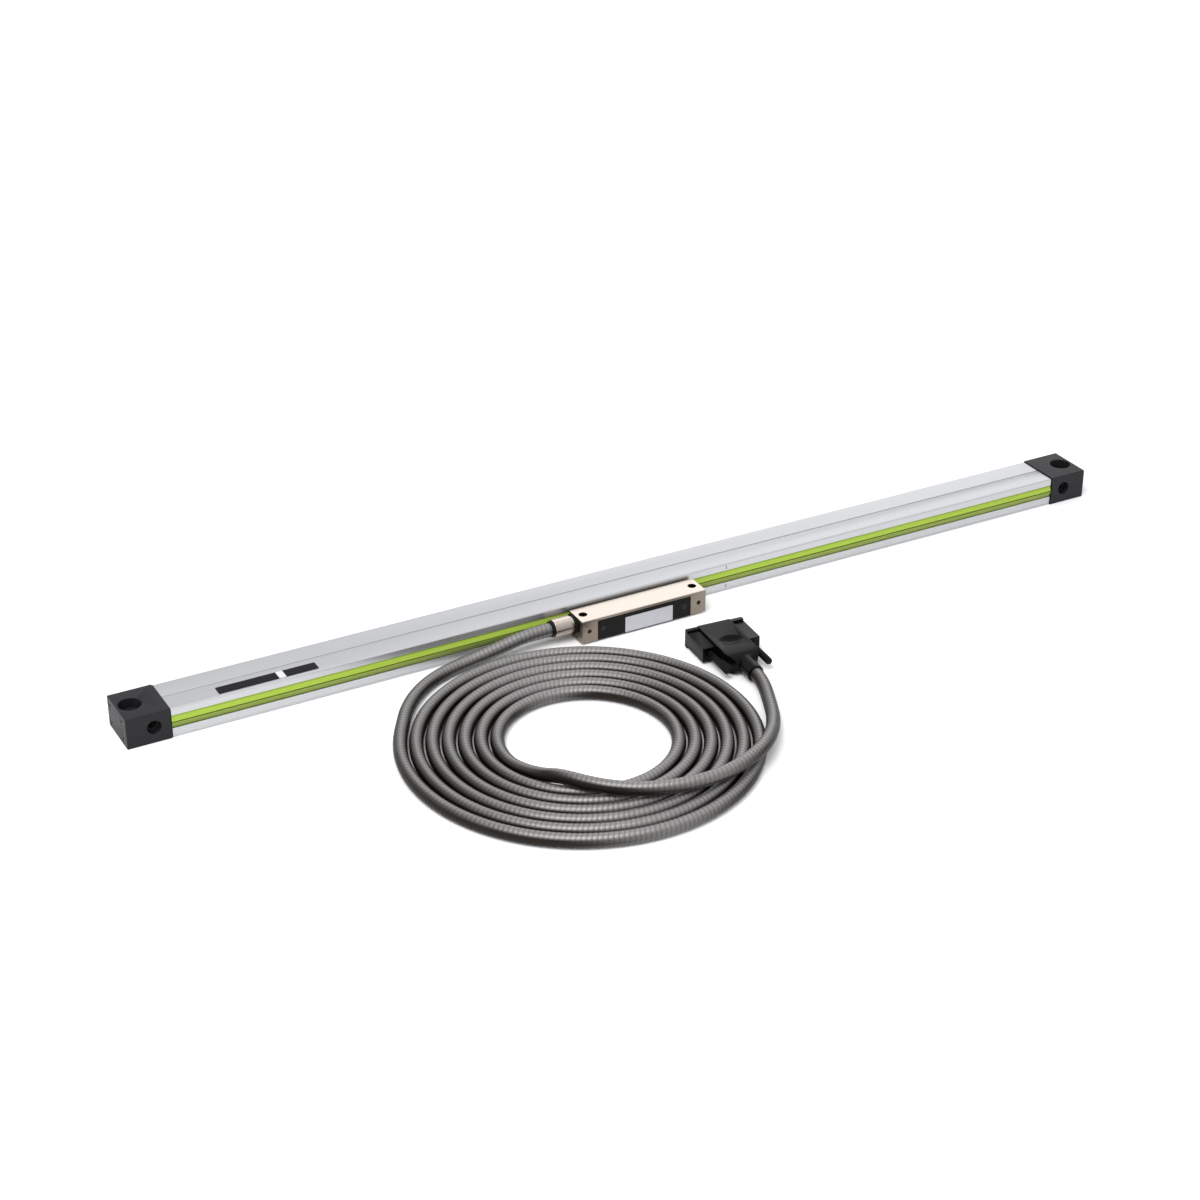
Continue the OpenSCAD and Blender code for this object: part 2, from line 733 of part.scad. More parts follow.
module photodiode_board() {
    color("#1f5a3a") translate([head_x, 0, 0]) {
        box(lens_x - 9, lens_x + 9, lens_y - 5, lens_y + 5, upper_jaw_z1, upper_jaw_z1 + 0.8);
        box(lens_x - 2.2, lens_x + 2.2, lens_y - 1.6, lens_y + 1.6, upper_jaw_z1 - 0.6, upper_jaw_z1);
    }
}

// ---- Gland ----

module gland_body() {
    color("#d4cec4") difference() {
        union() {
            rod_x([head_x0 - gland_flange_l, gland_y, gland_z], gland_r - 0.7,
                gland_flange_l - gland_washer_l);
            rod_x([head_x0 - gland_washer_l - eps, gland_y, gland_z], gland_spigot_r,
                gland_spigot_l + gland_washer_l);
        }
        rod_x([head_x0 - gland_flange_l - 1, gland_y + 2.1, gland_z], wire_way_r,
            gland_flange_l + gland_spigot_l + 2);
    }
}

// Rubber washer that seals the gland against the head
module gland_washer() {
    color("#1c1c1c") difference() {
        rod_x([head_x0 - gland_washer_l, gland_y, gland_z], gland_washer_r, gland_washer_l);
        rod_x([head_x0 - gland_washer_l - 1, gland_y, gland_z], gland_spigot_r, gland_washer_l + 2);
    }
}

module gland_nut() {
    color("#dcd6cc") difference() {
        union() {
            translate([head_x0 - gland_flange_l - gland_nut_l, gland_y, gland_z]) rotate([0, 90, 0])
                rotate([0, 0, 30]) intersection() {
                    cylinder(r = gland_r, h = gland_nut_l);
                    cylinder(r = gland_r + 0.55, h = gland_nut_l, $fn = 6);
                }
        }
        rod_x([head_x0 - gland_flange_l - gland_nut_l - 1, gland_y, gland_z], 4.2, gland_nut_l - 3);
        rod_x([head_x0 - gland_flange_l - gland_nut_l - 1, gland_y + 2.1, gland_z], wire_way_r,
            gland_nut_l + 2);
    }
}

module gland_ring() {
    color("#1c1c1c") difference() {
        rod_x([cable_exit_x, gland_y, gland_z], gland_r - 0.8, gland_ring_l);
        rod_x([cable_exit_x - 1, gland_y, gland_z], 4.2, gland_ring_l + 2);
    }
}

// ---- Cable ----

function unit(v) = v / norm(v);
function tangent(path, i) =
    unit(path[min(i + 1, len(path) - 1)] - path[max(i - 1, 0)]);
function ring(path, i, r, n, t) =
    let (side = unit(cross([0, 0, 1], t)), up = cross(t, side))
    [for (k = [0 : n - 1]) path[i] + r * (cos(360 * k / n) * side + sin(360 * k / n) * up)];

// Tube along a path; t0 and t1 are the directions at its two ends
module tube(path, r, n, t0, t1) {
    last = len(path) - 1;
    points = [for (i = [0 : last])
        each ring(path, i, r, n, i == 0 ? t0 : i == last ? t1 : tangent(path, i))];
    sides = [for (i = [0 : last - 1], k = [0 : n - 1])
        let (a = i * n + k, b = i * n + (k + 1) % n)
        each [[a, b + n, b], [a, a + n, b + n]]];
    start = [for (k = [0 : n - 1]) k];
    end = [for (k = [n - 1 : -1 : 0]) last * n + k];
    polyhedron(points, concat([start], sides, [end]));
}

cable_sides = 10;

module cable_lead() {
    color("#8a8480") translate([head_x, 0, 0])
        tube(LEAD, cable_d / 2, cable_sides, [-1, 0, 0], unit([-0.45, -0.9, 0]));
}

module cable_coil() {
    color("#8a8480") translate([head_x + coil_x, coil_y, 0]) rotate_extrude($fn = 96)
        translate([coil_inner_r, 0]) square([coil_outer_r - coil_inner_r, cable_d]);
}

module cable_tail() {
    boot_end = [hood_x - (hood_len + boot_len) * sin(-hood_turn),
                hood_y - (hood_len + boot_len) * cos(hood_turn), hood_z];
    route = concat(TAIL, [boot_end]);
    color("#8a8480") translate([head_x, 0, 0])
        tube(route, cable_d / 2, cable_sides, unit(TAIL[1] - TAIL[0]), [sin(-hood_turn), cos(hood_turn), 0]);
}

// ---- Connector ----

module at_hood() { translate([head_x + hood_x, hood_y, 0]) rotate([0, 0, hood_turn]) children(); }

module cable_boot() {
    color("#161616") at_hood() difference() {
        union() {
            translate([0, -hood_len - boot_len, hood_z]) rotate([-90, 0, 0])
                cylinder(r1 = boot_r - boot_taper, r2 = boot_r, h = boot_len);
            rod_y([0, -hood_len - eps, hood_z], 4.6, 3);
        }
        rod_y([0, -hood_len - boot_len - 1, hood_z], 3, boot_len + 6);
    }
}

module core_wires() {
    color("#3c3c40") at_hood()
        rod_y([0, -hood_len - boot_len + 1, hood_z], core_r, hood_len + boot_len - core_short);
}

module cable_clamp() {
    color("#a8aab0") at_hood() translate([0, -hood_len + 8, hood_z]) difference() {
        translate([-6.5, -3, -3.9]) cube([13, 6, 7.8]);
        rod_y([0, -4, 0], 2.95, 8);
    }
}

// Outline of the hood's middle: straight sides, then a rounded shoulder to the boot
module hood_outline(inset) {
    w = hood_mid_w / 2 - inset;
    neck = boot_r + 0.4 - inset;
    straight = hood_len * 0.66;
    rear = hood_len - inset;
    shoulder = [for (a = [0 : 15 : 90])
                [neck + (w - neck) * cos(a), -straight - (rear - straight) * sin(a)]];
    right = concat([[w, -inset]], shoulder);
    left = [for (i = [len(right) - 1 : -1 : 0]) [-right[i][0], right[i][1]]];
    polygon(concat(right, left));
}

// The hood from its side: level, then rounded down at the cable's end, above and below
module hood_side(inset) {
    top = hood_h / 2 - inset;
    rear = hood_len - inset;
    fall = [for (a = [0 : 15 : 90])
            [-rear + hood_fall_len * (1 - sin(a)), top - hood_fall * (1 - cos(a))]];
    under = [for (i = [len(fall) - 1 : -1 : 0]) [fall[i][0], -fall[i][1]]];
    translate([0, hood_z]) polygon(concat([[-inset, -top], [-inset, top]], fall, under));
}

// Middle of the hood, or its inside where an inset is given
module hood_middle(inset) {
    intersection() {
        linear_extrude(hood_h) hood_outline(inset);
        along_x(-hood_w / 2, hood_w) hood_side(inset);
    }
}

// Middle, round neck for the boot, ears, and the lip that holds the flange
module hood_solid() {
    hood_middle(0);
    rod_y([0, -hood_len, hood_z], boot_r, hood_fall_len);
    translate([-hood_w / 2, -ear_len, (hood_h - ear_h) / 2]) cube([hood_w, ear_len, ear_h]);
    translate([-hood_w / 2, -lip_depth, (hood_h - lip_h) / 2]) cube([hood_w, lip_depth, lip_h]);
}

module hood_hollow() {
    hood_middle(hood_wall);
    // Seat of the flange and way for the plug's body
    translate([-flange_w / 2 - 0.1, -flange_t - 1.6, (hood_h - flange_h) / 2 - 0.1])
        cube([flange_w + 0.2, flange_t + 0.1, flange_h + 0.2]);
    translate([-rear_w / 2 - 0.1, -12, (hood_h - rear_h) / 2 - 0.1]) cube([rear_w + 0.2, 14, rear_h + 0.2]);
    rod_y([0, -hood_len - 1, hood_z], 4.65, 5);
    for (side = [-1, 1]) {
        x = side * screw_pitch / 2;
        rod_y([x, -ear_len - 1, hood_z], screw_r + run_gap, ear_len + 2);
        rod_y([x, -ear_len + 8, hood_z], 2.6, 4);
    }
}

module at_hood_screws() {
    for (side = [-1, 1]) translate([side * hood_screw_x, -hood_screw_in, 0]) children();
}

// Oval hollow for the thumb: a circle swept about a line across the hood, and longer that way
module thumb_hollow(wall) {
    r = thumb_r + wall;
    half = thumb_half + wall;
    translate([0, -hood_len * thumb_place, hood_h + thumb_r - thumb_depth]) rotate([0, 90, 0])
        rotate_extrude($fn = 48) polygon([for (a = [-90 : 10 : 90]) [r * cos(a), half * sin(a)]]);
}

module hood_shell() {
    difference() {
        union() {
            difference() {
                hood_solid();
                hood_hollow();
            }
            intersection() {
                hood_solid();
                union() {
                    thumb_hollow(hood_wall);
                    at_hood_screws() cylinder(r = hood_post_r, h = hood_h);
                }
            }
        }
        thumb_hollow(0);
        // Screws go in from below, so the top stays plain
        at_hood_screws() {
            translate([0, 0, -1]) cylinder(r = 1.1, h = hood_h - hood_wall + 1);
            translate([0, 0, -1]) cylinder(r = 2, h = 2.6);
        }
    }
}

// Half of the space around the hood, above or below the split
module hood_half(z0) {
    translate([-hood_len, -2 * hood_len, z0]) cube([2 * hood_len, 3 * hood_len, hood_h]);
}

module hood_top() {
    color("#1b1b1d") at_hood() intersection() {
        hood_shell();
        hood_half(hood_z);
    }
}

module hood_bottom() {
    color("#1b1b1d") at_hood() intersection() {
        hood_shell();
        hood_half(hood_z - hood_h);
    }
}

module hood_screws() {
    color("#303032") at_hood() at_hood_screws() difference() {
        union() {
            translate([0, 0, 0.4]) cylinder(r = 1.9, h = 1.2);
            translate([0, 0, 0.4]) cylinder(r = 1, h = hood_h - 2.4);
        }
        translate([-1.6, -0.25, -0.6]) cube([3.2, 0.5, 1.6]);
    }
}

// D-shaped outline of the connector, wide side up
module d_outline(grow) {
    w = shell_w / 2 + grow;
    h = shell_h / 2 + grow;
    slope = tan(10) * 2 * h;
    polygon([[-w, h - 1], [-w + 1, h], [w - 1, h], [w, h - 1], [w - slope + 1, -h + 1],
             [w - slope, -h], [-w + slope, -h], [-w + slope - 1, -h + 1]]);
}

module connector_shell() {
    color("#c9c5bb") at_hood() translate([0, -1.6, hood_z]) rotate([90, 0, 0]) {
        difference() {
            union() {
                linear_extrude(flange_t) translate([-flange_w / 2, -flange_h / 2])
                    round_rect(flange_w, flange_h, 1.5);
                translate([0, 0, -shell_len]) linear_extrude(shell_len + 0.1) d_outline(0);
            }
            translate([0, 0, -shell_len - 1]) linear_extrude(shell_len + 3) d_outline(-shell_wall);
            for (side = [-1, 1]) translate([side * screw_pitch / 2, 0, -1]) cylinder(r = 1.7, h = 4);
        }
    }
}

// The 15 places of the contacts
module at_contacts() {
    for (i = [0 : 7]) translate([(i - 3.5) * contact_pitch, contact_row / 2]) children();
    for (i = [0 : 6]) translate([(i - 3) * contact_pitch, -contact_row / 2]) children();
}

module contact_insert() {
    color("#202428") at_hood() translate([0, -1.6, hood_z]) rotate([90, 0, 0]) difference() {
        union() {
            translate([0, 0, -shell_len + 0.3]) linear_extrude(shell_len + flange_t) d_outline(-shell_wall);
            translate([-rear_w / 2, -rear_h / 2, flange_t]) cube([rear_w, rear_h, rear_len]);
        }
        at_contacts() translate([0, 0, -shell_len - 1])
            cylinder(r = contact_r, h = shell_len + rear_len + 4);
    }
}

module socket_contacts() {
    color("#c8a548") at_hood() translate([0, -1.6, hood_z]) rotate([90, 0, 0]) at_contacts()
        translate([0, 0, -shell_len + 0.3]) difference() {
            cylinder(r = contact_r, h = shell_len + rear_len + 3);
            translate([0, 0, -1]) cylinder(r = contact_bore_r, h = 6);
        }
}

// Thumbscrew: shaft, a collar that keeps it in the hood, and a long knob behind the ear
module thumbscrew(side) {
    at_hood() translate([side * screw_pitch / 2, 0, hood_z]) {
        rod_y([0, -ear_len - 0.3, 0], screw_r, ear_len + 5.3);
        rod_y([0, -ear_len + 9.4, 0], 2.3, 1.2);
        rod_y([0, -ear_len - 0.3 - knob_len, 0], knob_r, knob_len);
        rod_y([0, -ear_len - 2.3, 0], knob_r + 0.5, 2);
    }
}

module thumbscrew_left() { color("#1a1a1c") thumbscrew(-1); }
module thumbscrew_right() { color("#1a1a1c") thumbscrew(1); }

housing_profile();
end_cap_left();
end_cap_right();
cap_gasket_left();
cap_gasket_right();
cap_screws();
upper_lip();
lower_lip();
glass_scale();
glass_bond();
label_plate();
head_block();
head_cover();
cover_gasket();
cover_screws();
head_label();
head_board();
blade();
blade_screws();
signal_ribbon();
coupling_rod();
preload_spring();
carriage();
roller_axles();
lamp_board();
lamp();
condenser_lens();
scanning_reticle();
photodiode_board();
gland_body();
gland_washer();
gland_nut();
gland_ring();
face_roller_1();
face_roller_2();
face_roller_3();
edge_roller_1();
edge_roller_2();
cable_lead();
cable_coil();
cable_tail();
cable_boot();
cable_clamp();
core_wires();
hood_top();
hood_bottom();
hood_screws();
connector_shell();
contact_insert();
socket_contacts();
thumbscrew_left();
thumbscrew_right();
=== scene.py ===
# %% [markdown]
# A linear glass scale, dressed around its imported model.
#
# The real object measures a machine's travel. A slim aluminium housing holds a ruled glass
# scale, a reading head slides along it on a thin blade between two green lips, and a
# steel-armoured cable runs from the head to a connector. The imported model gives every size
# and joint, so this file only adds what makes the pieces look made: broken edges, the wound
# cable, fluted knobs and finishes.

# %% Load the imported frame
import json
from math import cos, pi, radians, sin

import bmesh
import bpy
from mathutils import Matrix, Vector


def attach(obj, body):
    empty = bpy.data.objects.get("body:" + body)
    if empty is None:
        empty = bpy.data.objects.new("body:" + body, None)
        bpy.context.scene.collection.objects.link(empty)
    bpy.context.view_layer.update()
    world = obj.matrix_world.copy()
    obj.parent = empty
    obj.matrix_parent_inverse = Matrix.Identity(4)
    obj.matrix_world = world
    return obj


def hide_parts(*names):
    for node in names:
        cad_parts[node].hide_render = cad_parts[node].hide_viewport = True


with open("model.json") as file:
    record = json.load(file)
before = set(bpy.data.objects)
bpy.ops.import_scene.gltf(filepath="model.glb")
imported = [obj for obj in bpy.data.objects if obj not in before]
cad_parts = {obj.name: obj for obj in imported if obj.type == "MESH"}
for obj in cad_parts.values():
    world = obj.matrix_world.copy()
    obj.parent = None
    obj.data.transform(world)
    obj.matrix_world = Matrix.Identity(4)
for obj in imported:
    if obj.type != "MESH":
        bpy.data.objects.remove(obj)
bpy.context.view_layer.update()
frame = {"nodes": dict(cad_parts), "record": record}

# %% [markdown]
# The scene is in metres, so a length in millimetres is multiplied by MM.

MM = 0.001

# %% [markdown]
# The camera. A product camera far off with a longish lens keeps the 0.8 m housing from
# looking like a wedge. It looks down about 29 degrees and stands to the left of the middle,
# so that the left cap is nearest.

# %% Camera
camera_data = bpy.data.cameras.new("product_camera")
camera_data.lens = 73.9
camera_data.sensor_width = 36.0
camera = bpy.data.objects.new("product_camera", camera_data)
camera.location = (-0.8005, -1.4160, 0.8936)
camera.rotation_euler = (radians(61.233), 0.0, radians(-28.517))
bpy.context.scene.collection.objects.link(camera)
bpy.context.scene.camera = camera
print("camera stands", round(camera.location.length, 3), "m from the housing's middle")

# %% [markdown]
# The cable's route. The armoured cable is a fixed length of stiff hose: it leaves the gland
# level, sinks to the table, turns into a flat coil from the outside in, climbs over its own
# turns from the inside, and comes down to the connector. The route is written as control
# points in millimetres, with x counted from the head's middle. The tail's points are given
# by their angle and distance from the coil's middle, and their height. Lead and tail have
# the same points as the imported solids, where a plain ring stands in for the coil. The
# coil's turns lie 11 mm apart, a diameter and a little air.

# %% Route of the cable
CABLE_D = 10.0
HEAD_X = -16.0
LEAD = [(-71.5, -27.6, 12.6), (-84, -27.6, 12.5), (-98, -28, 11.4), (-112, -28.8, 9.4),
        (-126, -29.6, 7.4), (-142, -31, 5.6), (-158, -34.6, 5), (-174, -41.6, 5),
        (-190, -53, 5), (-204, -68, 5), (-216, -86, 5)]
COIL_MID = (-115, -161)
COIL_START, COIL_END = 150, 2340
OUTER_R = 125.0
TURN_PITCH = 11.0
POINTS_PER_TURN = 24
TAIL = [(215, 58, 9.4), (224, 60.5, 12.6), (233, 64.5, 14.6), (243, 70, 15.2),
        (255, 77.5, 15.2), (266, 85, 15.2), (278, 93.5, 15.2), (290, 102.5, 15.2),
        (301, 110.5, 15.2), (311, 117, 15.2), (320, 122.5, 14.6), (330, 127, 12.2),
        (340, 131.2, 9), (350, 136, 7.2)]
BOOT_END = (15.33 - HEAD_X, -145.84, 7.5)


def from_coil(angle, radius, height):
    """A point given by its angle and distance from the coil's middle."""
    turn = radians(angle)
    return (COIL_MID[0] + radius * cos(turn), COIL_MID[1] + radius * sin(turn), height)


coil_angles = range(COIL_START, COIL_END + 1, 360 // POINTS_PER_TURN)
coil = [from_coil(a, OUTER_R - TURN_PITCH * (a - COIL_START) / 360, CABLE_D / 2)
        for a in coil_angles]
tail = [from_coil(*point) for point in TAIL]
route = [Vector(((x + HEAD_X) * MM, y * MM, z * MM))
         for x, y, z in LEAD + coil + tail + [BOOT_END]]
print(len(route), "control points,", round((COIL_END - COIL_START) / 360, 2), "turns in the coil")

# %% [markdown]
# A hose of this kind has no kinks, so the control points are joined by cubic arcs whose
# directions come from the neighbouring points, and the result is cut into short equal steps.
# Equal steps matter, because the ribs are counted along the length.

# %% One smooth line through the control points
CUTS_PER_ARC = 40


def smooth_line(points, step, start, end):
    """Points a step apart on a smooth curve; start and end are its directions there."""
    last = len(points) - 1
    chord = [(points[i + 1] - points[i]).length for i in range(last)]
    slopes = []
    for i in range(last + 1):
        before = chord[i - 1] if i else chord[0]
        after = chord[i] if i < last else chord[-1]
        ahead = (points[min(i + 1, last)] - points[i]) / after
        behind = (points[i] - points[max(i - 1, 0)]) / before
        slopes.append((ahead * before + behind * after) / (before + after))
    slopes[0] = Vector(start).normalized()
    slopes[-1] = Vector(end).normalized()
    dense = []
    for i in range(last):
        for k in range(CUTS_PER_ARC):
            t = k / CUTS_PER_ARC
            dense.append((2 * t**3 - 3 * t**2 + 1) * points[i]
                         + (t**3 - 2 * t**2 + t) * chord[i] * slopes[i]
                         + (3 * t**2 - 2 * t**3) * points[i + 1]
                         + (t**3 - t**2) * chord[i] * slopes[i + 1])
    dense.append(points[-1])
    total = sum((b - a).length for a, b in zip(dense, dense[1:]))
    count = round(total / step)
    out, walked, target = [dense[0]], 0.0, total / count
    for a, b in zip(dense, dense[1:]):
        length = (b - a).length
        while len(out) < count and walked + length >= target * len(out):
            out.append(a.lerp(b, (target * len(out) - walked) / length))
        walked += length
    return out + [dense[-1]], total


plug_turn = radians(4)
into_boot = (sin(plug_turn), cos(plug_turn), 0)
cable_line, cable_length = smooth_line(route, 2 * MM, start=(-1, 0, 0), end=into_boot)
print("cable length", round(cable_length, 3), "m in", len(cable_line), "points")

# %% [markdown]
# Node helpers. Every material and every Geometry Nodes tree below is built by the one
# function that adds a node, sets it, and fills or links its sockets. The others are short
# names for nodes that come often. Colours are written as sRGB hex values and turned to the
# linear values a shader wants.


# %% Helpers for nodes
def add(tree, kind, sockets=None, **settings):
    """Adds a node, sets its settings, and fills its sockets with values or links."""
    node = tree.nodes.new(kind)
    for name, value in settings.items():
        setattr(node, name, value)
    for socket, value in (sockets or {}).items():
        if isinstance(value, bpy.types.NodeSocket):
            tree.links.new(value, node.inputs[socket])
        else:
            node.inputs[socket].default_value = value
    return node


def calc(tree, operation, *values):
    """The result of one sum on numbers."""
    return add(tree, "ShaderNodeMath", dict(enumerate(values)), operation=operation).outputs[0]


def vector(tree, operation, *values):
    """The result of one sum on vectors."""
    return add(tree, "ShaderNodeVectorMath", dict(enumerate(values)),
               operation=operation).outputs[0]


def scaled(tree, arrow, factor):
    """A vector made longer or shorter by a factor."""
    return add(tree, "ShaderNodeVectorMath", {0: arrow, "Scale": factor},
               operation="SCALE").outputs[0]


def ranged(tree, value, low, high, at_low, at_high, kind="LINEAR"):
    """A number that goes from at_low to at_high as the value goes from low to high."""
    return add(tree, "ShaderNodeMapRange", {0: value, 1: low, 2: high, 3: at_low, 4: at_high},
               interpolation_type=kind).outputs[0]


def mix(tree, factor, first, second):
    """The first colour where the factor is 0, the second where it is 1."""
    return add(tree, "ShaderNodeMix", {0: factor, 6: first, 7: second},
               data_type="RGBA").outputs[2]


print("node helpers ready")


# %% Helpers for colours and finishes
def linear(hex_colour):
    """An sRGB hex value as a linear colour."""
    parts = [int(hex_colour[i:i + 2], 16) / 255 for i in (1, 3, 5)]
    return (*(c / 12.92 if c <= 0.04045 else ((c + 0.055) / 1.055) ** 2.4 for c in parts), 1.0)


def new_finish(name, colour, roughness, metallic=0.0, **constants):
    """A material with its shader set; patterns are linked to it afterwards."""
    material = bpy.data.materials.new(name)
    material.use_nodes = True
    tree = material.node_tree
    tree.nodes.clear()
    shader = add(tree, "ShaderNodeBsdfPrincipled",
                 {"Base Color": linear(colour), "Roughness": roughness, "Metallic": metallic})
    for socket, value in constants.items():
        shader.inputs[socket.replace("_", " ")].default_value = value
    add(tree, "ShaderNodeOutputMaterial", {"Surface": shader.outputs[0]})
    material.diffuse_color = linear(colour)
    return material, tree, shader


print("finish helpers ready")

# %% [markdown]
# Most finishes share one need: a grain of a known size in millimetres that shifts the
# colour a little, varies the gloss and lifts the surface by a few microns. Stretching the
# grain along one axis turns a casting's skin into die lines or grinding marks.

# %% A grain with a real size
NOISE_ROUGHNESS = 0.55
NOISE_LOW, NOISE_HIGH = 0.3, 0.7


def grain(tree, shader, colour, other, size_mm, gloss, relief_mm, stretch=(1, 1, 1), detail=3.0):
    """Noise of a real size in a shader's colour, roughness and relief; gives its colour."""
    place = add(tree, "ShaderNodeTexCoord")
    scale = tuple(1 / (size_mm * MM * s) for s in stretch)
    sized = add(tree, "ShaderNodeMapping", {"Vector": place.outputs["Object"], "Scale": scale})
    noise = add(tree, "ShaderNodeTexNoise", {"Vector": sized.outputs[0], "Scale": 1.0,
                                             "Detail": detail, "Roughness": NOISE_ROUGHNESS})
    tone = mix(tree, noise.outputs[0], linear(colour), linear(other))
    sheen = ranged(tree, noise.outputs[0], NOISE_LOW, NOISE_HIGH, *gloss)
    bump = add(tree, "ShaderNodeBump", {"Strength": 1.0, "Distance": relief_mm * MM,
                                        "Height": noise.outputs[0]})
    tree.links.new(tone, shader.inputs["Base Color"])
    tree.links.new(sheen, shader.inputs["Roughness"])
    tree.links.new(bump.outputs[0], shader.inputs["Normal"])
    return tone


print("grain ready")

# %% [markdown]
# Both trees below take a line and give a closed mesh, so they share how they begin and end.
# A value that belongs to a point of the line or of the circle is stored under a name, since
# the mesh between them has neither.


# %% Helpers for Geometry Nodes trees
def new_tree(name, numbers, counts):
    """A tree with its sockets declared, and the outputs of its input node."""
    tree = bpy.data.node_groups.new(name, "GeometryNodeTree")
    face = tree.interface
    face.new_socket("Geometry", in_out="INPUT", socket_type="NodeSocketGeometry")
    for kind, given in (("NodeSocketFloat", numbers), ("NodeSocketInt", counts)):
        for socket, value in given.items():
            face.new_socket(socket, in_out="INPUT", socket_type=kind).default_value = value
    face.new_socket("Finish", in_out="INPUT", socket_type="NodeSocketMaterial")
    face.new_socket("Geometry", in_out="OUTPUT", socket_type="NodeSocketGeometry")
    return tree, add(tree, "NodeGroupInput").outputs


def end_tree(tree, geometry, finish):
    """Ends a tree in plain geometry that has its finish."""
    real = add(tree, "GeometryNodeRealizeInstances", {"Geometry": geometry})
    dressed = add(tree, "GeometryNodeSetMaterial", {"Geometry": real.outputs[0],
                                                    "Material": finish})
    add(tree, "NodeGroupOutput", {"Geometry": dressed.outputs[0]})
    return tree


def stored(tree, geometry, name, value, kind="FLOAT"):
    """The geometry with a value stored on its points under a name."""
    return add(tree, "GeometryNodeStoreNamedAttribute",
               {"Geometry": geometry, "Name": name, "Value": value}, data_type=kind).outputs[0]


def recalled(tree, name, kind="FLOAT"):
    """The value that was stored under a name."""
    return add(tree, "GeometryNodeInputNamedAttribute", {"Name": name}, data_type=kind).outputs[0]


print("tree helpers ready")

# %% [markdown]
# The armour. The cable's outside is a stainless strip wound round the cores, each turn
# hooked into the last, so it shows as fine ribs with a dark line between them. Winding a
# strip as a real helix would leave thousands of open edges. Instead one closed tube follows
# the route, and Geometry Nodes pull in each of its points by how far it is along the strip:
# length over pitch, plus the share of a turn round the hose. The same tree cuts the threads
# on the connector's screws.
#
# Two attributes are kept for the finish. "groove" is how deep a point lies in a groove.
# "crown" is 1 on the top and the underside of the hose and falls to 0 on the flanks that
# face left and right, and to about 0.4 on those that face front and back.

# %% Geometry Nodes: a tube with helical ribs
FLANK_WEIGHTS = (1.0, 0.45, 0.0)
FLANK_FULL = 0.36


def ribbed_tube_tree():
    """A tree that turns a line into a closed tube with helical ribs."""
    tree, given = new_tree("ribbed_tube", {"Radius": 5 * MM, "Rib pitch": 3.4 * MM,
                                           "Groove depth": 0.5 * MM, "Groove width": 0.25,
                                           "Step": 0.55 * MM}, {"Sides": 12})
    # The line and the circle, with what their points know
    line = add(tree, "GeometryNodeResampleCurve",
               {"Curve": given["Geometry"], "Length": given["Step"]}, mode="LENGTH").outputs[0]
    along = add(tree, "GeometryNodeSplineParameter").outputs["Length"]
    line = stored(tree, line, "along", along)
    middle = add(tree, "GeometryNodeInputPosition").outputs[0]
    line = stored(tree, line, "middle", middle, "FLOAT_VECTOR")
    circle = add(tree, "GeometryNodeCurvePrimitiveCircle",
                 {"Resolution": given["Sides"], "Radius": given["Radius"]}).outputs[0]
    share = add(tree, "GeometryNodeSplineParameter").outputs["Factor"]
    circle = stored(tree, circle, "around", share)
    tube = add(tree, "GeometryNodeCurveToMesh",
               {"Curve": line, "Profile Curve": circle, "Fill Caps": True}).outputs[0]
    # Distance from the nearest groove, as a share of the pitch
    turns = calc(tree, "DIVIDE", recalled(tree, "along"), given["Rib pitch"])
    phase = calc(tree, "ADD", turns, recalled(tree, "around"))
    away = calc(tree, "PINGPONG", phase, 0.5)
    groove = ranged(tree, away, 0.0, given["Groove width"], 1.0, 0.0, "SMOOTHSTEP")
    # Which way a point faces from the middle of the hose
    here = add(tree, "GeometryNodeInputPosition").outputs[0]
    outward = vector(tree, "SUBTRACT", here, recalled(tree, "middle", "FLOAT_VECTOR"))
    outward = vector(tree, "NORMALIZE", outward)
    level = vector(tree, "MULTIPLY", outward, FLANK_WEIGHTS)
    flank = add(tree, "ShaderNodeVectorMath", {0: level, 1: level},
                operation="DOT_PRODUCT").outputs["Value"]
    crown = ranged(tree, flank, 0.0, FLANK_FULL, 1.0, 0.0, "SMOOTHSTEP")
    # The grooves are pulled in, and the two attributes stay
    drop = calc(tree, "MULTIPLY", groove, given["Groove depth"])
    inward = calc(tree, "MULTIPLY", drop, -1.0)
    tube = stored(tree, tube, "groove", groove)
    tube = stored(tree, tube, "crown", crown)
    tube = add(tree, "GeometryNodeSetPosition",
               {"Geometry": tube, "Offset": scaled(tree, outward, inward)}).outputs[0]
    for name in ("along", "around", "middle"):
        tube = add(tree, "GeometryNodeRemoveAttribute",
                   {"Geometry": tube, "Name": name}).outputs[0]
    return end_tree(tree, tube, given["Finish"])


ribbed_tube = ribbed_tube_tree()
print("tree", ribbed_tube.name, "has", len(ribbed_tube.nodes), "nodes")

# %% [markdown]
# A tree runs on a line object. The helper below makes that line from points, sets the
# tree's inputs by their socket identifiers, and keeps only the plain mesh that comes out.


# %% Running a tree on a line
def line_object(name, points, radii=None):
    """A curve object through the points, each with its own radius factor."""
    curve = bpy.data.curves.new(name, "CURVE")
    curve.dimensions = "3D"
    spline = curve.splines.new("POLY")
    spline.points.add(len(points) - 1)
    for i, point in enumerate(points):
        spline.points[i].co = (*point, 1.0)
        spline.points[i].radius = radii[i] if radii else 1.0
    obj = bpy.data.objects.new(name, curve)
    bpy.context.scene.collection.objects.link(obj)
    return obj


def finished(name, mesh, sharp):
    """A mesh as a linked object with smooth faces that turn sharp past an angle."""
    mesh.shade_smooth()
    mesh.set_sharp_from_angle(angle=radians(sharp))
    obj = bpy.data.objects.new(name, mesh)
    bpy.context.scene.collection.objects.link(obj)
    return obj


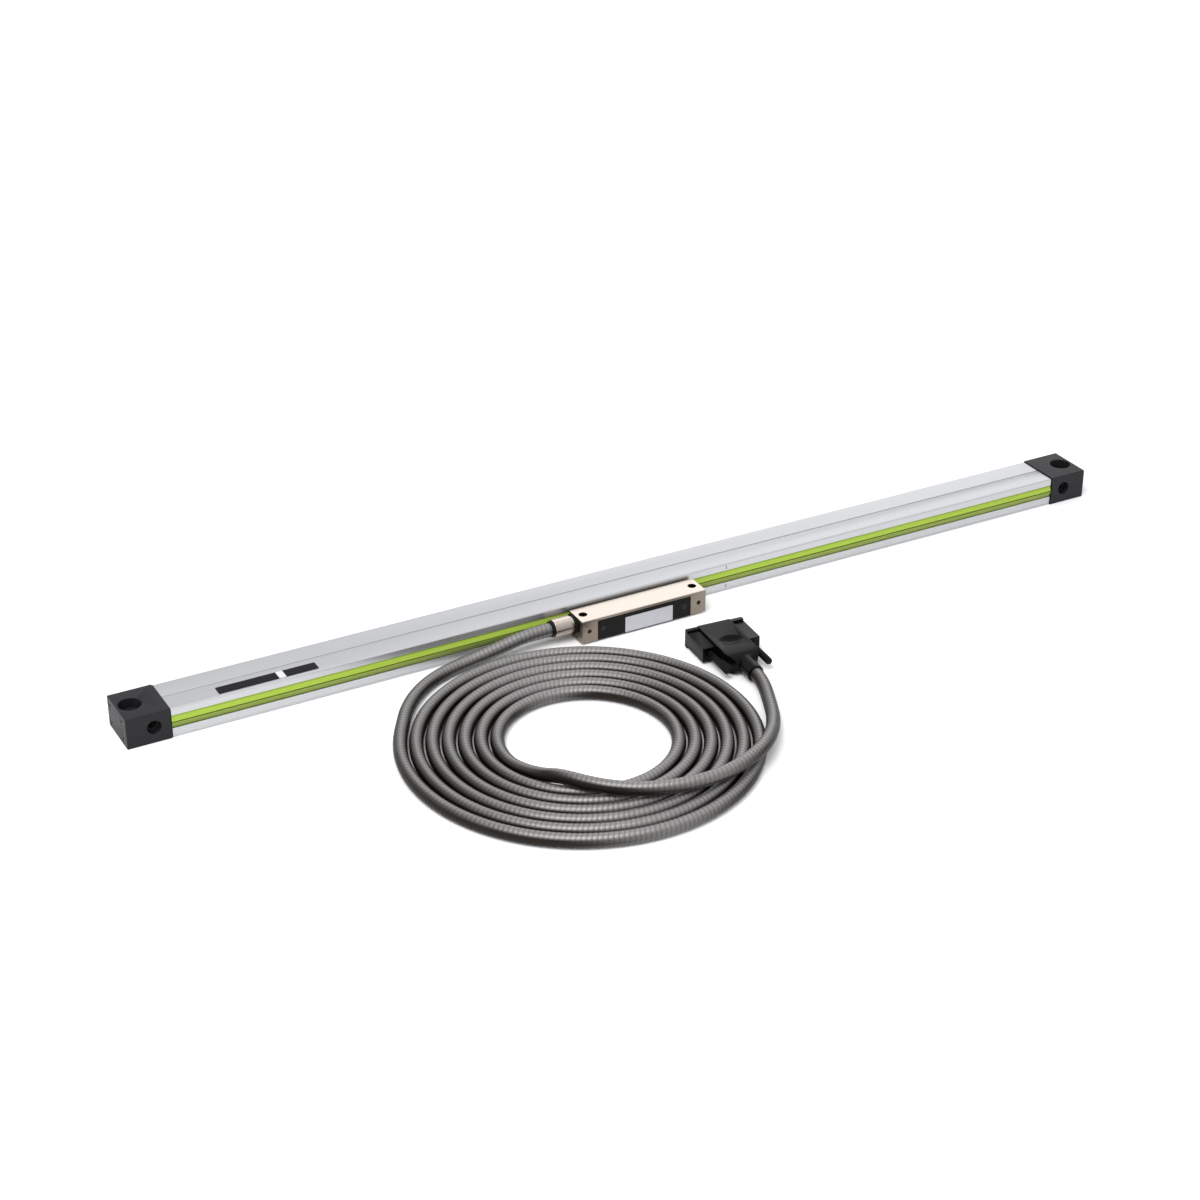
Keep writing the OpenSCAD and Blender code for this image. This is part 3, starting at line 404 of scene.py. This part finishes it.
def grown(name, points, tree, sizes, radii=None):
    """The mesh that a tree grows on a line, as a plain object."""
    line = line_object(name + "_line", points, radii)
    modifier = line.modifiers.new("grow", "NODES")
    modifier.node_group = tree
    for item in tree.interface.items_tree:
        if item.in_out == "INPUT" and item.name in sizes:
            modifier[item.identifier] = sizes[item.name]
    line.data.update_tag()
    bpy.context.view_layer.update()
    ready = line.evaluated_get(bpy.context.evaluated_depsgraph_get())
    mesh = bpy.data.meshes.new_from_object(ready)
    mesh.name = name
    line.modifiers.remove(modifier)
    bpy.data.objects.remove(line)
    return finished(name, mesh, sharp=180)


print("line helper ready")

# %% [markdown]
# Stainless steel strip, cold rolled: metallic, with a soft sheen. In a room, the flanks of such a
# hose mirror what is dark at its sides.
# The even surround of this scene has nothing dark in it, so a painted reflection, a darker tone,
# stands in for that where the stored crown is low. The seams are darker by their stored depth:
# partly dirt in them, partly painted shade.
# A slow noise shifts the tone.

# %% Finish: wound stainless strip
SEAM_DARKNESS = 0.5
wound_stainless, tree, shader = new_finish("stainless_strip_wound", "#949291", 0.46, metallic=0.9)
tone = grain(tree, shader, "#8D8B8A", "#9D9B9A", size_mm=6, gloss=(0.42, 0.5), relief_mm=0.002)
crown = add(tree, "ShaderNodeAttribute", attribute_name="crown").outputs["Fac"]
# Painted reflection: the flanks turn dark where the stored crown is low.
flanks_painted_dark = mix(tree, crown, linear("#27231F"), tone)
depth = add(tree, "ShaderNodeAttribute", attribute_name="groove").outputs["Fac"]
# Painted shade, with some dirt: the seams go darker by their depth.
seamed = mix(tree, calc(tree, "MULTIPLY", depth, SEAM_DARKNESS), flanks_painted_dark, linear("#2A2522"))
tree.links.new(seamed, shader.inputs["Base Color"])
print("finish", wound_stainless.name)

# %% [markdown]
# The cable's ribs are 3.4 mm apart and shallow. The groove's width is a share of the pitch.

# %% The armoured cable
RIB_PITCH = 3.4
STEPS_PER_RIB = 6
cable = grown("armoured_cable", cable_line, ribbed_tube,
              {"Radius": CABLE_D / 2 * MM, "Rib pitch": RIB_PITCH * MM,
               "Groove depth": 0.18 * MM, "Groove width": 0.2,
               "Step": RIB_PITCH / STEPS_PER_RIB * MM, "Sides": 12, "Finish": wound_stainless})
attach(cable, "reading_head")
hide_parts("cable_lead", "cable_coil", "cable_tail")
print("cable has", sum(len(p.vertices) - 2 for p in cable.data.polygons), "triangles")

# %% [markdown]
# Softened copies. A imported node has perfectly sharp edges, and no made thing has: a
# casting, a moulding or an extrusion all catch a thin line of light on their edges. Each
# piece that shows is copied, its loose triangles are merged into whole faces, and a Bevel
# breaks its edges by up to half a millimetre. The copy stands for the node.

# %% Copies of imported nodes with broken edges
BODY_OF = {node: body for body, nodes in frame["record"]["behaviour"]["bodies"].items()
           for node in nodes}
WELD_MM = 0.002
FLAT_DEGREES = 0.3
SHARP_DEGREES = 32


def softened(node, finish, edge_mm, segments=2):
    """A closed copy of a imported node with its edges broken, riding and standing for it."""
    mesh = bpy.data.meshes.new(node + "_dressed")
    work = bmesh.new()
    work.from_mesh(frame["nodes"][node].data)
    bmesh.ops.remove_doubles(work, verts=work.verts, dist=WELD_MM * MM)
    bmesh.ops.dissolve_limit(work, angle_limit=radians(FLAT_DEGREES), verts=work.verts,
                             edges=work.edges)
    bmesh.ops.recalc_face_normals(work, faces=work.faces)
    work.to_mesh(mesh)
    work.free()
    mesh.materials.clear()
    mesh.materials.append(finish)
    piece = finished(node + "_dressed", mesh, SHARP_DEGREES)
    bevel = piece.modifiers.new("broken_edges", "BEVEL")
    bevel.width = edge_mm * MM
    bevel.segments = segments
    bevel.limit_method = "ANGLE"
    bevel.angle_limit = radians(SHARP_DEGREES)
    bevel.harden_normals = True
    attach(piece, BODY_OF[node])
    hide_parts(node)
    return piece


def refinish(finish, *nodes):
    """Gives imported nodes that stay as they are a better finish."""
    for node in nodes:
        obj = frame["nodes"][node]
        if not obj.material_slots:
            obj.data.materials.append(finish)
        for slot in obj.material_slots:
            slot.material = finish


# %% [markdown]
# Patterns that stand at a fixed place, such as a printed mark, are cut out of the object's
# own coordinates, which are metres from the scene's origin.


# %% Helpers for patterns at a place
def axes_of(tree, kind="Object"):
    """The X, Y and Z of a point's place, or of the way its face looks."""
    place = add(tree, "ShaderNodeTexCoord")
    return add(tree, "ShaderNodeSeparateXYZ", {0: place.outputs[kind]}).outputs


def within(tree, value, middle_mm, half_mm):
    """1 where a coordinate lies within half_mm of middle_mm, else 0."""
    return calc(tree, "COMPARE", value, middle_mm * MM, half_mm * MM)


print("pattern helpers ready")

# %% [markdown]
# Clear anodised aluminium, extruded. The die leaves fine lines along the length, and the
# oxide turns the metal's mirror into a soft satin. The lines are really hundredths of a
# millimetre wide; here they are 0.8 mm so that they show. Two short printed marks stand on
# the front, one above the lips and one below.

# %% Finish: anodised aluminium with its printed marks
MARK_X, MARK_HALF_WIDTH = 67.5, 0.45
MARK_HEIGHTS, MARK_HALF_HEIGHT = (19.9, 4.3), 1.5
FRONT_Y, FRONT_REACH = -18.2, 0.3
anodised, tree, shader = new_finish("anodised_aluminium_extruded", "#C2C3C5", 0.4, metallic=1.0)
tone = grain(tree, shader, "#BBBCBF", "#C6C7C9", size_mm=0.8, gloss=(0.36, 0.46),
             relief_mm=0.003, stretch=(300, 1, 1), detail=2.0)
axes = axes_of(tree)
either = calc(tree, "ADD", *[within(tree, axes["Z"], z, MARK_HALF_HEIGHT) for z in MARK_HEIGHTS])
mark = calc(tree, "MULTIPLY", either, within(tree, axes["X"], MARK_X, MARK_HALF_WIDTH))
mark = calc(tree, "MULTIPLY", mark, within(tree, axes["Y"], FRONT_Y, FRONT_REACH))
tree.links.new(mix(tree, mark, tone, linear("#7A7C82")), shader.inputs["Base Color"])
housing = softened("housing_profile", anodised, 0.15)
print("housing", len(housing.data.polygons), "faces before its bevel")

# %% [markdown]
# The sealing lips are extruded polyurethane, a bright yellow-green that lets a little light
# in. They are smooth from the die, with a soft gloss. The lower one hangs under the upper,
# and its copy of the green is darker and more olive: painted shade.

# %% Finish and pieces: sealing lips
lip_green, tree, shader = new_finish("polyurethane_green_extruded", "#96B03A", 0.45,
                                     Specular_IOR_Level=0.3, Subsurface_Weight=0.3,
                                     Subsurface_Scale=0.0015)
grain(tree, shader, "#90AB36", "#9DB744", size_mm=1.2, gloss=(0.4, 0.5), relief_mm=0.004,
      stretch=(60, 1, 1))
softened("upper_lip", lip_green, 0.12)
# The lower lip: the same green, painted darker as shade from the upper lip.
lip_green_in_painted_shade, tree, shader = new_finish("polyurethane_green_painted_shade", "#7F9238", 0.4,
                                     Specular_IOR_Level=0.3, Subsurface_Weight=0.3,
                                     Subsurface_Scale=0.0015)
grain(tree, shader, "#798C34", "#879A40", size_mm=1.2, gloss=(0.36, 0.46), relief_mm=0.004,
      stretch=(60, 1, 1))
softened("lower_lip", lip_green_in_painted_shade, 0.12)
print("two lips", lip_green.name, lip_green_in_painted_shade.name)

# %% [markdown]
# The end caps are zinc castings with a black powder coat. Powder flows into a fine orange
# peel as it bakes, so highlights break up into grains of about half a millimetre, drawn
# at about twice that here, and corners are round because the coat is thick.

# %% Finish and pieces: end caps, gaskets and screws
powder_black, tree, shader = new_finish("powder_coat_black_on_zinc", "#1B1B1E", 0.46,
                                        Specular_IOR_Level=0.2)
grain(tree, shader, "#18181B", "#212124", size_mm=1.1, gloss=(0.4, 0.54), relief_mm=0.02)
for node in ("end_cap_left", "end_cap_right"):
    softened(node, powder_black, 0.35)
rubber_black, tree, shader = new_finish("nitrile_rubber_sheet", "#121212", 0.8,
                                        Specular_IOR_Level=0.2)
grain(tree, shader, "#0F0F0F", "#171717", size_mm=1.0, gloss=(0.7, 0.9), relief_mm=0.01)
for node in ("cap_gasket_left", "cap_gasket_right", "cover_gasket", "gland_washer"):
    softened(node, rubber_black, 0.05, segments=1)
steel_black, tree, shader = new_finish("steel_blackened", "#2C2C2E", 0.38, metallic=0.8)
grain(tree, shader, "#262628", "#38383A", size_mm=0.6, gloss=(0.3, 0.5), relief_mm=0.005)
for node in ("cap_screws", "cover_screws", "hood_screws"):
    softened(node, steel_black, 0.1)
print("caps, gaskets and screws")

# %% [markdown]
# A black foil plate lies on the top face. It is left bare, apart from one small pale field
# between its two halves.

# %% Finish and piece: plate on the housing
FIELD_X, FIELD_HALF_WIDTH = -290, 2.6
foil_black, tree, shader = new_finish("polyester_foil_black", "#101012", 0.42,
                                      Specular_IOR_Level=0.08)
tone = grain(tree, shader, "#0E0E10", "#151517", size_mm=1.5, gloss=(0.36, 0.5), relief_mm=0.01)
field = within(tree, axes_of(tree)["X"], FIELD_X, FIELD_HALF_WIDTH)
tree.links.new(mix(tree, field, tone, linear("#C9CACC")), shader.inputs["Base Color"])
softened("label_plate", foil_black, 0.06)
print("plate on the housing")

# %% [markdown]
# The reading head's block and gland are die cast and nickel plated. Nickel is warmer than
# steel or aluminium, and the satin plating keeps the casting's faint ripple of a few
# millimetres. Upright faces carry a painted shade: their colour is much darker and browner
# than that of level faces. The cover between the end blocks is black polyamide, moulded
# in a tool with an eroded grain.

# %% Finishes and pieces: reading head
UPRIGHT, LEVEL = 0.25, 0.85
nickel, tree, shader = new_finish("satin_nickel_on_zinc_casting", "#D6CBC1", 0.26, metallic=1.0)
tone = grain(tree, shader, "#D0C4B9", "#DCD2C9", size_mm=8, gloss=(0.23, 0.29), relief_mm=0.001)
tilt = calc(tree, "ABSOLUTE", axes_of(tree, "Normal")["Z"])
painted_light_by_tilt = ranged(tree, tilt, UPRIGHT, LEVEL, 0.0, 1.0)
# Painted shade on upright faces: the tone darkens as a face turns from level to upright.
tree.links.new(mix(tree, painted_light_by_tilt, linear("#857B71"), tone), shader.inputs["Base Color"])
softened("head_block", nickel, 0.3)
softened("gland_body", nickel, 0.3)
softened("gland_nut", nickel, 0.35)
polyamide_black, tree, shader = new_finish("polyamide_black_moulded", "#0D0D0C", 0.5,
                                           Specular_IOR_Level=0.14)
grain(tree, shader, "#0B0B0A", "#11110F", size_mm=0.8, gloss=(0.42, 0.56), relief_mm=0.012)
softened("head_cover", polyamide_black, 0.3)
softened("gland_ring", polyamide_black, 0.25)
foil_white, tree, shader = new_finish("polyester_foil_white", "#B4B4BA", 0.35)
grain(tree, shader, "#AEAEB5", "#BBBBC1", size_mm=4, gloss=(0.3, 0.42), relief_mm=0.004)
softened("head_label", foil_white, 0.06)
print("reading head, gland and plate")

# %% [markdown]
# The connector's hood is two shells of black ABS. The grain that the mould leaves is fine
# and shallow, so the faces keep a sheen. Its edges are rounder than those of the metal
# pieces, as a mould's are.

# %% Finish and pieces: connector hood and boot
abs_black, tree, shader = new_finish("abs_black_spark_grain", "#060608", 0.2,
                                     Specular_IOR_Level=0.1)
grain(tree, shader, "#050507", "#09090B", size_mm=0.9, gloss=(0.17, 0.25), relief_mm=0.002)
for node in ("hood_top", "hood_bottom"):
    softened(node, abs_black, 0.5, segments=3)
softened("cable_boot", abs_black, 0.3)
print("hood and boot")

# %% [markdown]
# Each thumbscrew has a long slim knob with flutes for the fingers, a shaft that runs
# through the hood, and a thread at its tip. The knob is a profile that repeats: a circle
# whose radius dips at every flute, swept along a short line by Geometry Nodes, with the
# line's own radius rounding both ends. With no flute depth the tree gives a round rod, and
# the flutes only say how many sides it has.

# %% Geometry Nodes: a fluted knob
SIDES_PER_FLUTE = 6


def fluted_rod_tree():
    """A tree that turns a line into a closed rod with flutes along it."""
    tree, given = new_tree("fluted_rod", {"Radius": 2.6 * MM, "Flute depth": 0.3 * MM},
                           {"Flutes": 14})
    sides = calc(tree, "MULTIPLY", given["Flutes"], SIDES_PER_FLUTE)
    circle = add(tree, "GeometryNodeCurvePrimitiveCircle",
                 {"Resolution": sides, "Radius": given["Radius"]}).outputs[0]
    share = add(tree, "GeometryNodeSplineParameter").outputs["Factor"]
    angle = calc(tree, "MULTIPLY", share, 2 * pi)
    wave = calc(tree, "COSINE", calc(tree, "MULTIPLY", angle, given["Flutes"]))
    dip = ranged(tree, wave, -1.0, 1.0, 0.0, 1.0, "SMOOTHSTEP")
    dip = calc(tree, "MULTIPLY", dip, given["Flute depth"])
    keep = calc(tree, "SUBTRACT", 1.0, calc(tree, "DIVIDE", dip, given["Radius"]))
    here = add(tree, "GeometryNodeInputPosition").outputs[0]
    circle = add(tree, "GeometryNodeSetPosition",
                 {"Geometry": circle, "Position": scaled(tree, here, keep)}).outputs[0]
    radius = add(tree, "GeometryNodeInputRadius").outputs[0]
    rod = add(tree, "GeometryNodeCurveToMesh",
              {"Curve": given["Geometry"], "Profile Curve": circle, "Scale": radius,
               "Fill Caps": True}).outputs[0]
    return end_tree(tree, rod, given["Finish"])


fluted_rod = fluted_rod_tree()
print("tree", fluted_rod.name, "has", len(fluted_rod.nodes), "nodes")

# %% [markdown]
# The connector has its own frame: its mating face is at 0 and the cable lies towards -Y,
# turned 4 degrees on the table. One function puts a point of that frame in the scene.

# %% The connector's frame, and pieces made of several
HOOD_ORIGIN = Vector((HEAD_X + 36, -79, 7.5)) * MM
SCREW_PITCH = 33.3
JOINED_SHARP_DEGREES = 35


def at_hood(x, y, z=0.0):
    """A point of the connector's own frame, in millimetres, as a point of the scene."""
    turned = Matrix.Rotation(-plug_turn, 3, "Z") @ Vector((x, y, z))
    return HOOD_ORIGIN + turned * MM


def joined(name, *objects):
    """Several objects as one, placed in its mesh."""
    work = bmesh.new()
    materials = []
    for obj in objects:
        first = len(materials)
        materials += list(obj.data.materials)
        start = len(work.faces)
        work.from_mesh(obj.data)
        work.faces.ensure_lookup_table()
        for face in work.faces[start:]:
            face.material_index += first
        bpy.data.objects.remove(obj)
    mesh = bpy.data.meshes.new(name)
    work.to_mesh(mesh)
    work.free()
    for material in materials:
        mesh.materials.append(material)
    return finished(name, mesh, JOINED_SHARP_DEGREES)


print("the connector's mating face is at", [round(v, 4) for v in HOOD_ORIGIN])

# %% [markdown]
# A thumbscrew is written as stops along the connector: each is a place in millimetres and
# a factor on the rod's radius. The shaft's radius is 1 mm, so its factors are millimetres.
# It carries a small ring that lies inside the hood.

# %% Thumbscrews
KNOB_END, SHOULDER, TIP = -56.3, -31.3, 5.0
SHAFT_R, RING_R = 1.42, 2.3
RING_BACK, RING_FRONT, RING_STEP = -19.6, -18.4, 0.01
THREAD_PITCH, THREAD_STEP = 0.635, 0.127
KNOB = [(KNOB_END, 0.82), (KNOB_END + 0.25, 0.93), (KNOB_END + 0.7, 1.0),
        (SHOULDER - 0.7, 1.0), (SHOULDER - 0.2, 0.93), (SHOULDER, 0.86)]
COLLAR = [(SHOULDER - 0.1, 0.9), (SHOULDER + 0.2, 1.0), (SHOULDER + 1.6, 1.0),
          (SHOULDER + 1.95, 0.9)]
SHAFT = [(SHOULDER + 1.0, SHAFT_R), (RING_BACK, SHAFT_R), (RING_BACK + RING_STEP, RING_R),
         (RING_FRONT, RING_R), (RING_FRONT + RING_STEP, SHAFT_R), (TIP - 6, SHAFT_R)]


def rod(name, x, stops, radius_mm, depth_mm, flutes, finish):
    """A rod along the connector, x millimetres from its middle."""
    return grown(name, [at_hood(x, y) for y, _ in stops], fluted_rod,
                 {"Radius": radius_mm * MM, "Flute depth": depth_mm * MM, "Flutes": flutes,
                  "Finish": finish}, radii=[factor for _, factor in stops])


knob_black, tree, shader = new_finish("knob_polyamide_black_fluted", "#0A0A0C", 0.4,
                                      Specular_IOR_Level=0.1)
grain(tree, shader, "#0A0A0C", "#101012", size_mm=0.7, gloss=(0.34, 0.48), relief_mm=0.008)
steel_zinc, tree, shader = new_finish("steel_zinc_plated", "#B9B9BC", 0.3, metallic=1.0)
grain(tree, shader, "#AEAEB2", "#C6C6C9", size_mm=0.8, gloss=(0.24, 0.4), relief_mm=0.004)
for side, body in ((-1, "thumbscrew_left"), (1, "thumbscrew_right")):
    x = side * SCREW_PITCH / 2
    knob = rod(body + "_knob", x, KNOB, 2.6, 0.32, 14, knob_black)
    collar = rod(body + "_collar", x, COLLAR, 3.1, 0.0, 6, knob_black)
    shaft = rod(body + "_shaft", x, SHAFT, 1, 0.0, 5, steel_zinc)
    thread = grown(body + "_thread", [at_hood(x, y) for y in (TIP - 6.2, TIP)], ribbed_tube,
                   {"Radius": SHAFT_R * MM, "Rib pitch": THREAD_PITCH * MM,
                    "Groove depth": 0.2 * MM, "Groove width": 0.5, "Step": THREAD_STEP * MM,
                    "Sides": 20, "Finish": steel_zinc})
    screw = joined(body + "_turned", knob, collar, shaft, thread)
    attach(screw, body)
    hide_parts(body)
    print(body, len(screw.data.polygons), "faces")

# %% [markdown]
# The connector's metal and its insert. The shell is drawn steel with a dull tin coat, the
# insert is glass-filled polyester, and the contacts are turned brass with a flash of gold.

# %% Finishes and pieces: shell, insert, contacts
tin_plate, tree, shader = new_finish("steel_tin_plated", "#C8C4BA", 0.32, metallic=1.0)
grain(tree, shader, "#BDB9AF", "#D2CEC5", size_mm=1.5, gloss=(0.26, 0.42), relief_mm=0.005)
softened("connector_shell", tin_plate, 0.12)
polyester, tree, shader = new_finish("polyester_glass_filled", "#1D2226", 0.55)
grain(tree, shader, "#191E22", "#252B30", size_mm=0.5, gloss=(0.48, 0.62), relief_mm=0.01)
softened("contact_insert", polyester, 0.08, segments=1)
gold_flash, tree, shader = new_finish("gold_flash_on_brass", "#D9B45A", 0.24, metallic=1.0)
grain(tree, shader, "#D0A94E", "#E2C06A", size_mm=0.5, gloss=(0.2, 0.3), relief_mm=0.002)
softened("socket_contacts", gold_flash, 0.04, segments=1)
print("shell, insert and contacts")

# %% [markdown]
# Inside the hood a pressed steel clamp grips the cable's jacket over its cores.

# %% Finishes: clamp and core jacket
pressed_steel, tree, shader = new_finish("pressed_steel_zinc", "#A9ABAF", 0.36, metallic=1.0)
grain(tree, shader, "#A0A2A6", "#B4B6BA", size_mm=1.0, gloss=(0.3, 0.44), relief_mm=0.006)
refinish(pressed_steel, "cable_clamp")
core_jacket, tree, shader = new_finish("pvc_jacket_grey", "#3A3B40", 0.6)
grain(tree, shader, "#36373B", "#424349", size_mm=0.8, gloss=(0.52, 0.68), relief_mm=0.01)
refinish(core_jacket, "core_wires")
refinish(steel_zinc, "blade_screws")
print("clamp, jacket and small screws")

# %% [markdown]
# The glass scale is float glass, ground at its edges, with a chrome grating in a band along
# it. The real lines are 20 microns apart; here they are 1 mm apart, so that they can be seen
# at all.

# %% Finishes: glass scale and its adhesive
LINE_PITCH_MM, LINE_SHARE = 1, 0.25
BAND_Y, BAND_HALF_WIDTH = 4.5, 3
GLASS_TINT = "#CFE3DC"
glass, tree, shader = new_finish("float_glass_with_chrome_lines", GLASS_TINT, 0.04, IOR=1.52,
                                 Transmission_Weight=0.92)
axes = axes_of(tree)
steps = calc(tree, "MULTIPLY", axes["X"], 1 / (LINE_PITCH_MM * MM))
stripe = calc(tree, "LESS_THAN", calc(tree, "PINGPONG", steps, 0.5), LINE_SHARE)
line = calc(tree, "MULTIPLY", stripe, within(tree, axes["Y"], BAND_Y, BAND_HALF_WIDTH))
tree.links.new(mix(tree, line, linear(GLASS_TINT), linear("#C4C6C8")),
               shader.inputs["Base Color"])
tree.links.new(line, shader.inputs["Metallic"])
refinish(glass, "glass_scale")
silicone, tree, shader = new_finish("silicone_white", "#E4E1D8", 0.5, Subsurface_Weight=0.1,
                                    Subsurface_Scale=0.001)
grain(tree, shader, "#DDDACF", "#EAE8E0", size_mm=2, gloss=(0.44, 0.58), relief_mm=0.02)
refinish(silicone, "glass_bond")
print("glass and adhesive")

# %% [markdown]
# The rest lies inside: a blasted aluminium carriage on ball bearings, and ground spring
# steel for the blade, its rod and the leaf.

# %% Finishes: scanning carriage and blade
spring_steel, tree, shader = new_finish("spring_steel_ground", "#B6B8BE", 0.24, metallic=1.0)
grain(tree, shader, "#ADAFB6", "#C2C4C9", size_mm=0.3, gloss=(0.18, 0.32), relief_mm=0.002,
      stretch=(1, 20, 1))
refinish(spring_steel, "blade", "coupling_rod", "preload_spring", "roller_axles")
bearing_steel, tree, shader = new_finish("bearing_steel_ground", "#C0C1C6", 0.16, metallic=1.0)
grain(tree, shader, "#B6B7BD", "#CACBD0", size_mm=0.3, gloss=(0.12, 0.22), relief_mm=0.001)
refinish(bearing_steel, "face_roller_1", "face_roller_2", "face_roller_3",
         "edge_roller_1", "edge_roller_2")
blasted, tree, shader = new_finish("aluminium_blasted", "#8E9094", 0.55, metallic=1.0)
grain(tree, shader, "#86888C", "#989A9E", size_mm=0.4, gloss=(0.48, 0.64), relief_mm=0.01)
refinish(blasted, "carriage")
print("carriage, rollers and blade")

# %% [markdown]
# The electronics and optics: green circuit boards, an amber ribbon, the clear lamp, and
# polished glass for the lens and the reticle.

# %% Finishes: boards, ribbon, lamp and optics
board_green, tree, shader = new_finish("glass_fibre_board_green", "#1D5236", 0.3)
grain(tree, shader, "#194A30", "#235C3E", size_mm=1.2, gloss=(0.24, 0.4), relief_mm=0.01)
refinish(board_green, "head_board", "lamp_board", "photodiode_board")
amber_film, tree, shader = new_finish("polyimide_film_amber", "#A8681E", 0.28)
grain(tree, shader, "#A0601A", "#B47428", size_mm=1.0, gloss=(0.22, 0.36), relief_mm=0.004,
      stretch=(1, 12, 1))
refinish(amber_film, "signal_ribbon")
epoxy_clear, tree, shader = new_finish("epoxy_clear_cast", "#F0EAD2", 0.12, IOR=1.5,
                                       Transmission_Weight=0.7)
grain(tree, shader, "#ECE5CA", "#F4EFDC", size_mm=1.0, gloss=(0.08, 0.18), relief_mm=0.002)
refinish(epoxy_clear, "lamp")
optical_glass, tree, shader = new_finish("optical_glass_polished", "#E4F0F0", 0.02, IOR=1.52,
                                         Transmission_Weight=1.0)
grain(tree, shader, "#DFECEC", "#E9F4F4", size_mm=3.0, gloss=(0.01, 0.04), relief_mm=0.0005)
refinish(optical_glass, "condenser_lens", "scanning_reticle")
print("boards and optics")

# %% [markdown]
# The armoured cable is one fixed length, 10 mm thick and stiff. It leaves the head at the
# gland's ring and ends in the connector. The connector's pieces are listed here.

# %% Gathering the connector's pieces
PLUG_NODES = ("core_wires", "cable_clamp")
plug_pieces = [frame["nodes"][node] for node in PLUG_NODES]
plug_pieces += [bpy.data.objects[node + "_dressed"] for node in
                ("cable_boot", "hood_top", "hood_bottom", "hood_screws", "connector_shell",
                 "contact_insert", "socket_contacts")]
plug_pieces += [bpy.data.objects[body + "_turned"]
                for body in ("thumbscrew_left", "thumbscrew_right")]
print("cord declared with", len(plug_pieces), "pieces on it")

# %% [markdown]
# The setting: a plain pale floor, a bright even surround that the metals can mirror, and
# two large soft lamps. The surround gives more than half of the light that falls on the
# floor, so shadows stay faint. The stronger lamp stands at the front left and gives the
# light its direction; the weaker one stands behind at the right.

# %% Floor and light
FLOOR = 6.0
floor_mesh = bpy.data.meshes.new("studio_floor")
floor_mesh.from_pydata([(-FLOOR, -FLOOR, 0), (FLOOR, -FLOOR, 0), (FLOOR, FLOOR, 0),
                        (-FLOOR, FLOOR, 0)], [], [(0, 1, 2, 3)])
floor = bpy.data.objects.new("studio_floor", floor_mesh)
bpy.context.scene.collection.objects.link(floor)
pale_floor, tree, shader = new_finish("studio_paper_white", "#F7F7F8", 0.9,
                                      Specular_IOR_Level=0.1)
floor_mesh.materials.append(pale_floor)
world = bpy.data.worlds.new("studio_surround")
world.use_nodes = True
surround = world.node_tree.nodes["Background"].inputs
surround["Color"].default_value = linear("#FBFBFC")
surround["Strength"].default_value = 1.0
bpy.context.scene.world = world
for name, watts, size, spot, aim in (("key_softbox", 32, 1.2, (-0.9, -0.7, 1.9), (0, -0.05, 0)),
                                     ("back_softbox", 5, 1.6, (1.6, 1.9, 1.3), (0.2, 0, 0))):
    lamp = bpy.data.lights.new(name, "AREA")
    lamp.energy = watts
    lamp.size = size
    holder = bpy.data.objects.new(name, lamp)
    holder.location = spot
    holder.rotation_euler = (Vector(aim) - Vector(spot)).to_track_quat("-Z", "Y").to_euler()
    bpy.context.scene.collection.objects.link(holder)
bpy.context.scene.view_settings.view_transform = "Standard"
print("floor and", len(bpy.data.lights), "lamps")

# %% [markdown]
# Last, the scene is brought up to date.

bpy.context.view_layer.update()
